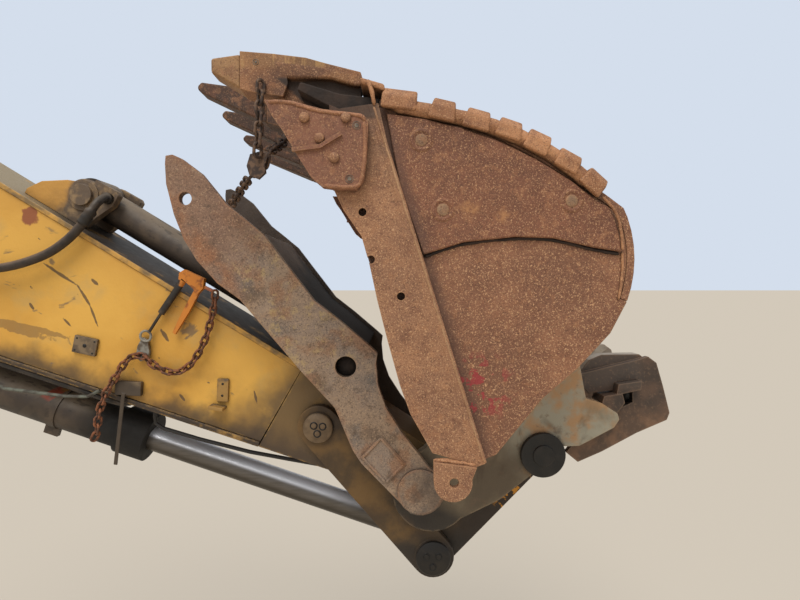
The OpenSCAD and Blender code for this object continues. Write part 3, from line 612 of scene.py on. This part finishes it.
tan_steel = finish("soiled_cap", tan_recipe)
# Flat black, painted as the shade in recesses, holes and the wedges' slot
painted_black_shade = finish("painted_black_shade", lambda at: (tone(14, 12, 11), 0.5, 0.0, at.grain(90, 2) * 0.0002))
low_steel = finish("low_cap_steel", lambda at: (
    at.mottle(tone(22, 17, 14), tone(36, 29, 22), 20, 4, 0.4, 0.65), 0.55, 0.0, at.grain(90, 4) * 0.0007))
idler_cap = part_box("idler_pin")
cap_middle = (Vector(idler_cap[0]) + Vector(idler_cap[1])) / 2
low_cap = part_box("idler_links")
for body, metal, middle, face, reach, spots in (
        ("stick", tan_steel, cap_middle, idler_cap[1][1], 61, ((-16, 11), (20, 8), (-2, -22))),
        ("idlers", low_steel, by_nose(60, 0, -333), low_cap[1][1], 71, ((-28, 10), (22, 10), (-2, -33)))):
    discs = bmesh.new()
    rings = bmesh.new()
    for side in (-1, 1):
        centre = Vector((middle.x, face * side, middle.z))
        turn(discs, centre, (0, side, 0), [(reach, -4), (reach, 4), (reach - 4, 8), (1, 8)])
        for x, z in spots:
            spot = centre + Vector((x / 1000, side * 0.008, z / 1000))
            turn(rings, spot, (0, side, 0), [(16, -1), (16, 1), (11, 1), (11, -1)], 24)
            turn(discs, spot, (0, side, 0), [(10.8, -1), (10.8, 1.6), (9, 2.4), (1, 2.4)], 24)
    added(body + "_cap", body, discs, metal)
    added(body + "_cap_rings", body, rings, painted_black_shade)


# Coupler: a grey steel casting with a round end at the nose pin, stained brown by water
# and soil that ran off the bucket.
def casting_recipe(at):
    right, _, up = from_nose(at)
    colour = at.mottle(tone(120, 106, 84), tone(96, 82, 64), 5, 5, 0.4, 0.62)
    # The tongue is pale and mottled with pits of rust, the round end dark brown
    tongue = (right + up * 0.6 + at.grain(6, 3) * 0.16).rise(0.46, 0.66)
    pale = at.blend(tone(160, 154, 136), tone(176, 138, 98), at.moved(6, 1, 2).grain(9, 5).rise(0.45, 0.62))
    colour = at.blend(colour, pale, tongue * at.grain(5, 4).rise(0.2, 0.42))
    pits = at.moved(8, 3, 1).grain(30, 5, 0.65).rise(0.56, 0.72)
    colour = at.blend(colour, tone(112, 90, 70), pits * 0.6)
    round_end = (right * 0.5 + up * 1.0 + at.grain(5, 4) * 0.05).rise(0.02, -0.06)
    colour = at.blend(colour, tone(40, 34, 29), round_end * 0.9)
    stain = at.stretch(1, 1, 0.45).grain(7, 4, 0.6, 0.6).rise(0.54, 0.66)
    colour = at.blend(colour, tone(72, 54, 38), stain * 0.7)
    colour = at.blend(colour, tone(170, 142, 106), at.edges(0.014) * at.grain(24, 3).rise(0.35, 0.55) * 0.5)
    # Dark dirt and painted shade in the corners and gaps
    colour = at.dirtied_and_shaded(colour, tone(30, 24, 20), 0.12, 0.3, 0.9, 0.9)
    return colour, at.grain(35, 3) * 0.2 + 0.5, 0.0, at.grain(45, 5) * 0.003


casting = finish("grey_casting", casting_recipe)
for name in ("coupler_plates", "coupler_cross_tubes"):
    worn(name, 0.012, casting, 3)


# Latch plates and wedges: hooked brown plate that holds the bucket to the coupler, driven
# tight by wedge bars.
def latch_recipe(at):
    right, across, up = from_nose(at)
    # The plate is painted dark as the shadow of the bucket falls on it; below the shadow it is lighter
    colour = at.mottle(tone(90, 69, 55), tone(64, 52, 44), 8, 5, 0.38, 0.6)
    lower = (up + at.grain(6, 4) * 0.1).rise(0.36, 0.26)
    colour = at.blend(colour, at.mottle(tone(118, 88, 66), tone(88, 68, 54), 14, 5, 0.4, 0.6), lower)
    # Higher up the painted shadow is darker and greyer
    upper = up.rise(0.36, 0.4) * right.rise(0.93, 0.87)
    colour = at.blend(colour, tone(76, 66, 59), upper * 0.8)
    gusset = across.size().rise(0.204, 0.2) * up.rise(0.40, 0.42)
    colour = at.blend(colour, tone(158, 148, 134), gusset * at.grain(9, 4).rise(0.25, 0.5))
    colour = at.blend(colour, tone(128, 102, 80), at.moved(2, 2, 6).grain(90, 4, 0.65).rise(0.54, 0.66) * 0.35)
    colour = at.blend(colour, tone(150, 120, 94), at.edges(0.01) * 0.5)
    # Dark dirt and painted shade in the corners and gaps
    colour = at.dirtied_and_shaded(colour, tone(34, 27, 23), 0.1, 0.3, 0.9, 0.85)
    return colour, at.grain(35, 3) * 0.2 + 0.5, 0.0, at.grain(60, 5) * 0.002


latch_finish = finish("brown_hook_plate", latch_recipe)
for name in ("latch_plates", "latch_wedges"):
    worn(name, 0.006, latch_finish, 3)


# Bucket: wear-resistant plate rolled and welded to a shell, its sides rusted to a fine
# orange and brown grain that stone has rubbed.
def rust_recipe(light, dark, speck, extra=None):
    """Rust between a light and a dark tone; speck is how much of the fine pale grain shows,
    and extra is what else lies on this piece."""
    def recipe(at):
        colour = at.blend(dark, light, at.grain(4.5, 5, 0.6).rise(0.38, 0.62))
        colour = at.blend(colour, tone(112, 70, 50), at.moved(5, 1, 2).grain(24, 5).rise(0.5, 0.66) * 0.5)
        colour = at.blend(colour, tone(172, 120, 82), at.moved(1, 4, 2).grain(40, 5).rise(0.54, 0.66) * 0.4)
        fine = at.grain(230, 3, 0.7)
        flecks = at.moved(9, 9, 9).grain(205, 3, 0.7, 0.4).rise(0.56, 0.63)
        colour = at.blend(colour, tone(76, 47, 34), fine.rise(0.46, 0.34) * 0.75)
        colour = at.blend(colour, tone(222, 174, 130), flecks.most(fine.rise(0.6, 0.68)) * speck)
        colour = at.blend(colour, tone(196, 148, 104), at.edges(0.008) * 0.45)
        # Dark dirt and painted shade in the corners and gaps
        colour = at.dirtied_and_shaded(colour, tone(44, 29, 21), 0.06, 0.3, 0.9, 0.85)
        if extra:
            colour = extra(at, colour)
        height = fine * 0.0012 + flecks * 0.0006 + at.grain(12, 4) * 0.006
        return colour, at.grain(50, 3) * 0.25 + 0.55, 0.0, height
    return recipe


def fold_shadow(at, colour):
    """The smooth dark band beside the side bar's inner edge, and specks of red paint."""
    right, across, up = from_nose(at)
    band = (right + up * 0.312 - 0.2616 + at.grain(60, 4) * 0.02).rise(0.06, 0.02)
    colour = at.blend(colour, tone(88, 62, 52), band * 0.6)
    off = at.moved(*(-nose_pin)).moved(-0.165, 0, -0.475).stretch(1, 0, 1).length()
    near_side = across.rise(-0.6, -0.7)
    red = off.rise(0.13, 0.05) * at.moved(3, 8, 1).grain(38, 3).rise(0.55, 0.6) * near_side
    return at.blend(colour, tone(158, 40, 52), red * 0.75)


def pale_patches(at, colour):
    colour = fold_shadow(at, colour)
    from_pin = at.moved(*(-nose_pin))
    for x, z, wide in ((0.131, 1.022, 0.03), (0.230, 0.995, 0.026)):
        off = from_pin.moved(-x, 0, -z).stretch(0.8, 0, 1).length()
        pale = off.rise(wide, wide * 0.4) * at.grain(60, 3).rise(0.35, 0.6)
        colour = at.blend(colour, tone(178, 126, 82), pale * 0.8)
    return colour


def bar_shade(at, colour):
    """Above the side cutter the bar lies in the shade under the adapter, caked with soil."""
    right, _, up = from_nose(at)
    over = (up - (1.299 - (right + 0.305) * 0.117)).rise(-0.004, 0.006) * right.rise(-0.12, -0.17)
    colour = at.blend(colour, tone(70, 50, 38), over * 0.9)
    top = up.rise(1.0, 1.25) * right.rise(-0.3, -0.1) * 0.45
    return at.blend(colour, tone(104, 84, 68), top * at.grain(14, 4).rise(0.3, 0.55))


shell_rust = finish("shell_rust", rust_recipe(tone(148, 101, 73), tone(124, 83, 61), 0.8, fold_shadow))
bar_rust = finish("side_bar_rust", rust_recipe(tone(164, 118, 85), tone(142, 101, 75), 0.7, bar_shade))
wear_rust = finish("wear_plate_rust", rust_recipe(tone(132, 84, 60), tone(111, 70, 51), 0.7, pale_patches))
cast_rust = finish("cast_rust", rust_recipe(tone(190, 135, 94), tone(152, 104, 70), 0.7))
shade_rust = finish("shaded_rust", lambda at: (
    # Dark dirt and painted shade in the corners and gaps
    at.dirtied_and_shaded(at.mottle(tone(38, 27, 21), tone(58, 42, 32), 14, 4, 0.4, 0.66), tone(18, 13, 10), 0.1, 0.3, 0.9, 0.8),
    0.8, 0.0, at.grain(90, 3) * 0.002))
for name in ("bucket_cheeks", "bucket_wrapper", "bucket_hinge_plate"):
    worn(name, 0.004, shell_rust)
worn("bucket_side_bars", 0.009, bar_rust, 3)
worn("bucket_lip", 0.004, shade_rust, 3)
worn("bucket_wear_plates", 0.006, wear_rust, 3)
worn("lifting_eyes", 0.008, bar_rust, 3)

# Plug welds through the wear plates: a ground disc in a shallow weld ring
plug_rings = bmesh.new()
plug_discs = bmesh.new()
wear_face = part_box("bucket_wear_plates")[1][1] * 1000
for side in (-1, 1):
    for x, z in ((-16, 1224), (49, 1016), (436, 1043)):
        turn(plug_rings, by_nose(x, wear_face * side, z), (0, side, 0),
             [(40, -3), (35, 1.5), (29, 3.4), (25, 2.6), (21, -2), (1, -2)], 32)
        turn(plug_discs, by_nose(x, wear_face * side, z), (0, side, 0),
             [(19, -2), (18.5, 0.4), (16, 1.4), (1, 1.6)], 32)
added("plug_weld_rings", "bucket", plug_rings, wear_rust)
added("plug_welds", "bucket", plug_discs,
      finish("plug_rust", rust_recipe(tone(146, 118, 92), tone(126, 98, 76), 0.3)))


# Welds of the bucket: lumpy beads of weld metal, rusted like the plates they join.
def bead(shape, points, radius, lump, seed):
    """Adds a weld bead along points given in millimetres from the nose pin."""
    line = smooth([by_nose(*p) for p in points], max(8, int(sum(
        (Vector(b) - Vector(a)).length for a, b in zip(points, points[1:])) / (radius * 1.1))))
    radii = []
    for i, point in enumerate(line):
        wave = noise.noise(point * 55 + Vector((seed, 0, 0)))
        shift = Vector((noise.noise(point * 70), 0, noise.noise(point * 70 + Vector((7, 7, seed)))))
        line[i] = point + shift * radius / 1000 * lump
        radii.append(radius / 1000 * (1 + wave * lump) * (0.5 if i in (0, len(line) - 1) else 1))
    tube(shape, line, radii, 8)


def slab(shape, outline, low, high):
    """Adds a flat plate: its outline in x and z, from low to high across, all in mm."""
    skin(shape, [[shape.verts.new(by_nose(x, y, z)) for x, z in outline] for y in (low, high)])


welds = bmesh.new()
fold_ridge = bmesh.new()
fold_fillet = bmesh.new()
seams = bmesh.new()
for side in (-1, 1):
    slab(fold_fillet, ((-180, 1325), (-152, 1325), (183, 252), (155, 252)), 738 * side, 756.2 * side)
    bead(fold_ridge, [(-158, 754.5 * side, 1318), (12, 754.5 * side, 772), (174, 754.5 * side, 256)], 4, 0.3, 9)
    bead(welds, [(-176, 754 * side, 1396), (-164, 756 * side, 1362), (-157, 756 * side, 1322)], 7, 0.25, 3)
    bead(welds, [(22, 757 * side, 262), (50, 759 * side, 262), (90, 758 * side, 256), (148, 757 * side, 247)],
         7, 0.4, 1)
    for y, down in ((741, ((528, 1056), (568, 1009), (585, 952), (590, 895))),
                    (727, ((595, 889), (597, 850), (593, 790), (586, 745)))):
        bead(welds, [(x, y * side, z) for x, z in down], 4.5, 0.3, 2)
    bead(seams, [(-6, 727 * side, 876), (113, 727 * side, 914), (268, 727 * side, 930), (384, 727 * side, 926),
                 (500, 727 * side, 899), (586, 727 * side, 884)], 5, 0.3, 6)
soften(added("fold_fillets", "bucket", fold_fillet, bar_rust), 0.005)
# Dark seam beads: soil packed in the seam, and painted shadow under the lower wear plate's edge
added("packed_and_shaded_seams", "bucket", seams, shade_rust)
added("fold_ridges", "bucket", fold_ridge, finish(
    "rubbed_edge", rust_recipe(tone(188, 148, 112), tone(158, 118, 86), 0.3)))
added("bucket_welds", "bucket", welds, cast_rust)


# Teeth and adapters, side cutters and heel shrouds: castings, rounded by wear and
# polished by soil, welded or bolted over the bucket's edges.
tooth_rows = (-640, -320, 0, 320, 640)


def near_row(at):
    """1 on the tooth and the adapter of the near side, 0 on the others."""
    return at.part(1).rise(-0.5, -0.56)


def cutter_recipe(at):
    colour, rough, metal, height = rust_recipe(tone(146, 98, 72), tone(122, 80, 60), 0.55)(at)
    blush = at.moved(3, 3, 9).grain(9, 4).rise(0.42, 0.6)
    return at.blend(colour, tone(130, 84, 66), blush * 0.4), rough, metal, height


def tooth_recipe(at):
    """The worn tooth on the near side is paler than the others, which are still dark."""
    colour, rough, metal, height = rust_recipe(tone(74, 50, 38), tone(52, 35, 27), 0.25)(at)
    pale, _, _, _ = rust_recipe(tone(164, 124, 84), tone(124, 90, 58), 0.4)(at)
    return at.blend(colour, pale, near_row(at)), rough, metal, height


def adapter_recipe(at):
    colour, rough, metal, height = rust_recipe(tone(92, 64, 50), tone(68, 47, 38), 0.2)(at)
    near, _, _, _ = rust_recipe(tone(154, 106, 70), tone(104, 68, 46), 0.6)(at)
    colour = at.blend(colour, near, near_row(at))
    # A painted highlight in streaks along the top of the strap
    highlight_streaks = at.stretch(60, 1, 5).grain(1.0, 3).rise(0.5, 0.62)
    right, _, up = from_nose(at)
    # Under the strap a painted shadow makes it black, but for the narrow fin in its middle
    slant = right + up * 1.2 - 1.2565
    under = (up - 1.432).rise(0.004, -0.008) * slant.rise(-0.012, 0.004)
    fin = (up - 1.397 + (right + 0.42) * 0.2).size() - (right + 0.42) * -0.28
    under = under * fin.rise(-0.006, 0.006)
    colour = at.blend(colour, tone(48, 35, 27), under * 0.95)
    # The painted highlight lies on the near adapter's top ridge
    ridge = up.rise(1.45, 1.475) * near_row(at) * right.rise(-0.25, -0.32)
    colour = at.blend(colour, tone(186, 146, 94), ridge * (highlight_streaks * 0.5 + 0.2))
    return colour, rough, metal, height


adapter_finish = finish("adapter_rust_near", adapter_recipe)
worn("tooth_adapters", 0.014, adapter_finish, 3)
tooth_finish = finish("tooth_rust", tooth_recipe)
long_teeth = worn("teeth", 0.013, tooth_finish, 3)
kept = bmesh.new()
kept.from_mesh(long_teeth.data)
bmesh.ops.delete(kept, geom=[v for v in kept.verts if v.co.y < -0.56], context="VERTS")
kept.to_mesh(long_teeth.data)
kept.free()
# The near tooth is worn to a short blunt wedge, its joint face slanting
stub = bmesh.new()
joint = [(-574, y, z) for y, z in ((-687, 1398), (-593, 1398), (-593, 1504), (-687, 1504))]
tip = [(-669, y, z) for y, z in ((-676, 1452), (-604, 1452), (-604, 1496), (-676, 1496))]
skin(stub, [[stub.verts.new(by_nose(*q)) for q in face] for face in (joint, tip)])
soften(added("near_tooth", "bucket", stub, tooth_finish), 0.008)
# Under each strap its web widens into the strap, and weld runs on over the lip's corner
straps = bmesh.new()
corners = bmesh.new()
strap_outline = ((-480, 1486), (-300, 1464), (-205, 1440), (-188, 1412), (-215, 1404), (-294, 1427), (-452, 1430))
strap_half = 48.8
for y in tooth_rows:
    slab(straps, strap_outline, y - strap_half, y + strap_half)
for side in (-1, 1):
    slab(corners, ((-200, 1408), (-126, 1387), (-126, 1366), (-196, 1388)), 752 * side, 560 * side)
soften(added("strap_webs", "bucket", straps, finish(
    "strap_rust", rust_recipe(tone(160, 113, 72), tone(110, 73, 49), 0.6))), 0.009)
soften(added("lip_corners", "bucket", corners, cast_rust), 0.007)
cutter_rust = finish("cutter_rust", cutter_recipe)
worn("side_cutters", 0.010, cutter_rust, 3)
# A raised rim runs along the top edge of each side cutter, down its back and round below
rims = bmesh.new()
cutter_face = 789
for side in (-1, 1):
    for route in (((-462, 1320), (-402, 1318), (-312, 1293), (-200, 1281), (-184, 1264)),
                  ((-184, 1264), (-182, 1180), (-191, 1102), (-208, 1077), (-262, 1075), (-300, 1080))):
        bead(rims, [(x, (cutter_face - 2) * side, z) for x, z in route], 6.5, 0.2, 8)
# The rim's paler rust is a painted highlight
added("cutter_rims", "bucket", rims,
      finish("rim_highlight_rust", rust_recipe(tone(172, 118, 84), tone(146, 98, 70), 0.5)))


# Heel shrouds: cast steel blocks that lap over the edge of the bucket's heel. Work has worn
# them round, and weld fills the gaps between them.
def turned_from(middle, x, z, lean):
    """Where a point x, z ends up when it is turned by lean and set off from the middle."""
    return (middle[0] + x * math.cos(lean) - z * math.sin(lean),
            middle[1] + x * math.sin(lean) + z * math.cos(lean))


def shroud(shape, middle, base, top, height, turned, side):
    """Adds a block whose lap is flat and whose shoulder slopes back to its roof."""
    plate_face, lap_face, roof_edge, inside = 736, 757, 735, 640
    rings = []
    for end in (-0.5, 0.5):
        rings.append([])
        for up, across in ((-0.5, plate_face), (-0.5, lap_face), (0.12, lap_face), (0.5, roof_edge),
                           (0.5, inside), (0.1, inside), (0.1, plate_face)):
            along = end * (base + (top - base) * (up + 0.5))
            x, z = turned_from(middle, along, up * height, math.radians(turned))
            rings[-1].append(shape.verts.new(by_nose(x, across * side, z)))
    skin(shape, rings)


blocks = bmesh.new()
saddles = bmesh.new()
for side in (-1, 1):
    # Columns: middle, length at the lap's foot and at the roof, height, turn
    for middle, base, top, height, turned in (
            ((-82, 1345), 108, 104, 64, -7), ((49, 1314), 84, 66, 67, -13), ((152, 1286), 85, 67, 64, -15.5),
            ((248, 1257), 81, 66, 62, -18.5), ((333, 1218), 78, 69, 66, -25), ((425, 1162), 76, 70, 61, -28.5),
            ((503, 1100), 79, 67, 64, -42)):
        shroud(blocks, middle, base, top, height, turned, side)
    bead(saddles, [(x, 729 * side, z) for x, z in (
        (-110, 1332), (-60, 1324), (-4, 1313), (49, 1304), (107, 1292), (152, 1279), (203, 1264), (248, 1247),
        (293, 1229), (333, 1208), (383, 1181), (425, 1152), (466, 1119), (496, 1088))], 25, 0.08, 4)
shroud_piece = added("cast_shrouds", "bucket", blocks, cast_rust)
soften(shroud_piece, 0.007, 4)
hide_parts("heel_shrouds")
added("shroud_welds", "bucket", saddles, cast_rust)


# Bolts: four domed heads stand on each side cutter and two lie in recesses. Every adapter
# has the hole of the pin that locks its tooth.
domes = bmesh.new()
sunk = bmesh.new()
for side in (-1, 1):
    for x, z in ((-357, 1274), (-237, 1274), (-314, 1215), (-271, 1159)):
        turn(domes, by_nose(x, cutter_face * side, z), (0, side, 0),
             [(15, -2), (15, 5), (13.5, 9), (10, 11.5), (5, 12.8), (0.5, 13)], 24)
    for x, z in ((-206, 1252), (-227, 1098)):
        turn(sunk, by_nose(x, cutter_face * side, z), (0, side, 0),
             [(12.5, -2), (12, 1), (10.5, 1.2), (9.5, -1.5), (7.5, -1.5), (7, 1), (4, 1.4), (0.5, 0.6)], 24)
for y in tooth_rows:
    turn(sunk, by_nose(-525, y - 48, 1478), (0, -1, 0),
         [(10, -2), (9.5, 0.8), (8, 1), (7, -1.5), (5, -1.5), (4.5, 0.4), (0.5, 0.6)], 20)
added("cutter_bolts", "bucket", domes, bar_rust)
added("sunk_bolts", "bucket", sunk, finish("ringed_bolt_grey", lambda at: (
    # Dark dirt and painted shade in the bolts' recesses
    at.dirtied_and_shaded(at.mottle(tone(124, 112, 98), tone(84, 70, 58), 60, 3, 0.4, 0.6), tone(26, 22, 20), 0.008, 0.1, 0.5, 1),
    0.6, 0.0, at.grain(140, 3) * 0.0006)))


# Thumb: two thick plates cut to a long curve and joined by a plate along the front. Its
# steel is smoother than the bucket's, brown with blue-grey and ochre bloom.
thumb_lean = math.radians(127)


def thumb_recipe(at):
    right, across, up = from_nose(at)
    far = right * math.cos(thumb_lean) + up * math.sin(thumb_lean)
    front = up * math.cos(thumb_lean) - right * math.sin(thumb_lean)
    tip = (far + at.grain(4, 3) * 0.3).rise(1.2, 1.4)
    colour = at.mottle(tone(154, 130, 108), tone(146, 127, 112), 4, 4, 0.42, 0.62)
    colour = at.blend(colour, tone(146, 100, 66), at.moved(3, 3, 3).grain(9, 5).rise(0.5, 0.64) * 0.6)
    colour = at.blend(colour, tone(104, 98, 94), at.moved(5, 8, 3).grain(6, 5).rise(0.52, 0.66) * 0.7)
    colour = at.blend(colour, tone(134, 98, 76), tip * 0.75)
    belt = far.rise(0.45, 0.65) * far.rise(1.25, 1.0)
    ochre = at.moved(1, 7, 1).grain(17, 6, 0.72).rise(0.52, 0.62) * belt
    colour = at.blend(colour, tone(188, 160, 108), ochre * 0.55)
    front_rust = front.rise(0.04, 0.1) * far.rise(0.9, 1.1)
    colour = at.blend(colour, tone(156, 102, 64), front_rust * at.grain(10, 4).rise(0.3, 0.6) * 0.7)
    cloud = at.moved(4, 4, 9).grain(11, 6, 0.68)
    colour = at.blend(colour, tone(98, 78, 62), cloud.rise(0.48, 0.36) * 0.6)
    colour = at.blend(colour, tone(178, 152, 126), cloud.rise(0.56, 0.7) * 0.55)
    fine = at.grain(190, 3, 0.7)
    colour = at.blend(colour, tone(204, 170, 134), fine.rise(0.57, 0.67) * 0.6)
    colour = at.blend(colour, tone(66, 49, 38), fine.rise(0.46, 0.35) * 0.65)
    hub = far.rise(0.14, 0.02) * at.grain(8, 4).rise(0.3, 0.6)
    colour = at.blend(colour, tone(74, 58, 47), hub * 0.6)
    # A painted highlight along the edges, with orange rust
    rim = at.edges(0.018)
    colour = at.blend(colour, tone(176, 122, 82), rim * at.grain(16, 4).rise(0.4, 0.62) * 0.6)
    # The far plate and the inside faces are painted dark grey as the shade they lie in
    away = across.rise(-0.30, -0.28)
    grey = at.mottle(tone(50, 44, 40), tone(66, 58, 50), 6, 4, 0.4, 0.6)
    colour = at.blend(colour, grey, away * 0.85)
    # Dark dirt and painted shade in the corners and gaps
    colour = at.dirtied_and_shaded(colour, tone(22, 18, 16), 0.14, 0.35, 0.9, 0.9)
    return colour, at.grain(40, 3) * 0.2 + 0.5, 0.0, fine * 0.0012 + at.grain(14, 4) * 0.005


def thumb_back_recipe(at):
    # The spine is painted dark as the shade it lies in, less dark towards its top
    bright = (from_nose(at)[2] + at.grain(5, 4) * 0.3).rise(0.95, 1.15)
    colour = at.blend(tone(34, 29, 26), tone(110, 92, 78), bright)
    # Dark dirt and painted shade in the corners and gaps
    return at.dirtied_and_shaded(colour, tone(16, 13, 12), 0.2, 0.3, 0.9, 0.8), 0.75, 0.0, at.grain(60, 4) * 0.002


thumb_finish = finish("thumb_steel", thumb_recipe)
worn("thumb_plates", 0.010, thumb_finish, 3)
worn("thumb_spine", 0.004, finish("thumb_back", thumb_back_recipe))
worn("thumb_pads", 0.004, thumb_finish, 3)


def on_thumb(far, across, front):
    """A point in millimetres along the thumb, across it and towards its back."""
    x, z = turned_from((0, 0), far, front, thumb_lean)
    return by_nose(x, across, z)


# A raised rim runs round each square pad
rims = bmesh.new()
pad_corners = ((256, -5), (124, -12), (109, 82), (238, 95))
for side in (-1, 1):
    ring = [on_thumb(u, 358 * side, v) for u, v in pad_corners]
    for start, end in zip(ring, ring[1:] + ring[:1]):
        tube(rims, smooth([start, end], 10), [0.0055] * 10, 8)
added("pad_rims", "thumb", rims, thumb_finish)
# A dark disc closes the hole at half length behind: painted shade inside the hole
hole_shade = bmesh.new()
for side in (-1, 1):
    turn(hole_shade, on_thumb(554, 318 * side, -61), (0, side, 0), [(47, -8), (47, 0), (1, 0)], 32)
added("hole_shade_discs", "thumb", hole_shade, shade_rust)


# Bolt holes of the pads on the stick's side: one in the middle and four small ones of the
# square pad, two of the upright bracket, all black discs of painted shade.
pad_holes = bmesh.new()
pad_face = -0.179
for middle, turned, spots in (
        ((1627, -213), 17, ((0, 0, 8), (-37, -25, 4), (37, -25, 4), (-37, 25, 4), (37, 25, 4))),
        ((2216, -94), 27, ((0, 27, 5), (0, -22, 5)))):
    for x, z, radius in spots:
        along, above = turned_from(middle, x, z, math.radians(turned))
        turn(pad_holes, on_stick(along / 1000, pad_face, above / 1000), (0, -1, 0),
             [(radius, -1), (radius, 0.6), (1, 0.6)], 20)
added("pad_holes", "stick", pad_holes, painted_black_shade)


# Stop blocks: short steel blocks behind the wedges, welded to the inner faces of the latch
# plates, which close the wedges' slot; they are black with the painted shade of the slot.
stops = bmesh.new()
for side in (-1, 1):
    slab(stops, ((840, 300), (905, 300), (905, 385), (840, 385)), 150 * side, 204 * side)
added("slot_stops", "bucket", stops, painted_black_shade)


# Chains and binder: rusty welded chain lashes the cylinder up, pulled tight by a ratchet
# binder with a black tube, an orange ratchet and lever, and a bare hook.
def chain_recipe(at):
    colour = at.mottle(tone(84, 54, 38), tone(142, 86, 54), 60, 3, 0.42, 0.6)
    # Dark dirt and painted shade in the corners and gaps
    colour = at.dirtied_and_shaded(colour, tone(36, 25, 20), 0.02, 0.3, 0.9, 0.85)
    return colour, 0.7, 0.0, at.grain(240, 2) * 0.0008


def binder_recipe(at):
    along = along_stick(at)
    above = above_stick(at)
    black = at.mottle(tone(42, 37, 33), tone(74, 62, 50), 28, 4, 0.5, 0.68)
    orange = at.mottle(tone(206, 126, 42), tone(150, 84, 34), 34, 4, 0.5, 0.66)
    lever = along.rise(1.905, 1.912).most(above.rise(0.2, 0.206) * (along + above * 0.2).rise(1.892, 1.9))
    ratchet = above.rise(0.222, 0.228) * along.rise(1.826, 1.83)
    colour = at.blend(black, orange, lever.most(ratchet))
    colour = at.blend(colour, tone(176, 104, 74), along.rise(1.950, 1.954))
    steel = at.mottle(tone(142, 138, 128), tone(92, 80, 68), 30, 4, 0.45, 0.65)
    colour = at.blend(colour, steel, above.rise(-0.02, -0.03))
    # Dark dirt and painted shade in the corners and gaps
    colour = at.dirtied_and_shaded(colour, tone(30, 25, 22), 0.02, 0.3, 0.85, 0.8)
    return colour, 0.5, 0.0, at.grain(140, 2) * 0.0006


chain_finish = finish("chain_rust", chain_recipe)
coat("stick_chain", chain_finish)
coat("bucket_chain", finish("dark_chain", lambda at: (
    # Dark dirt and painted shade in the corners and gaps
    at.dirtied_and_shaded(at.mottle(tone(58, 42, 34), tone(108, 82, 62), 60, 3, 0.45, 0.62), tone(24, 18, 15), 0.02, 0.3, 0.9, 1),
    0.65, 0.0, at.grain(240, 2) * 0.0008)))
worn("chain_binder", 0.003, finish("binder_paint", binder_recipe))


# Studio: a plain pale floor well below the part, a pale surround, and the light of a
# hazy sun high in front.
floor_level = -3.45
floor_mesh = bpy.data.meshes.new("floor")
reach = 400
floor_mesh.from_pydata([(-reach, -reach, floor_level), (reach, -reach, floor_level),
                        (reach, reach, floor_level), (-reach, reach, floor_level)], [], [(0, 1, 2, 3)])
floor = placed("floor", floor_mesh)
floor_paint = bpy.data.materials.new("floor")
floor_seen = emptied(floor_paint).node("ShaderNodeLightPath", {}, {}, "Is Camera Ray")
matt = floor_seen.node("ShaderNodeBsdfDiffuse", {}, {"Color": tone(206, 196, 180)})
glow = floor_seen.node("ShaderNodeEmission", {}, {"Color": tone(206, 197, 184), "Strength": 1.0})
floor_mix = floor_seen.node("ShaderNodeMixShader", {}, {0: floor_seen * 0.55, 1: matt, 2: glow})
floor_seen.node("ShaderNodeOutputMaterial", {}, {"Surface": floor_mix})
floor_mesh.materials.append(floor_paint)

world = bpy.data.worlds.new("surround")
bpy.context.scene.world = world
seen = emptied(world).node("ShaderNodeLightPath", {}, {}, "Is Camera Ray")
shown = seen.node("ShaderNodeBackground", {}, {"Color": tone(212, 222, 236), "Strength": 1.0})
lighting = seen.node("ShaderNodeBackground", {}, {"Color": tone(236, 238, 240), "Strength": 0.72})
mixed = seen.node("ShaderNodeMixShader", {}, {0: seen, 1: lighting, 2: shown})
seen.node("ShaderNodeOutputWorld", {}, {"Surface": mixed})

sun = bpy.data.lights.new("hazy_sun", "SUN")
sun.energy = 1.9
sun.angle = math.radians(35)
sun.color = (1.0, 0.965, 0.91)
sun_holder = placed("hazy_sun", sun)
sun_holder.rotation_euler = Vector((0.25, 0.75, -1.25)).to_track_quat("-Z", "Y").to_euler()


def plain(box):
    """The two corners of a box as plain lists of numbers."""
    return [[float(c) for c in corner] for corner in box]
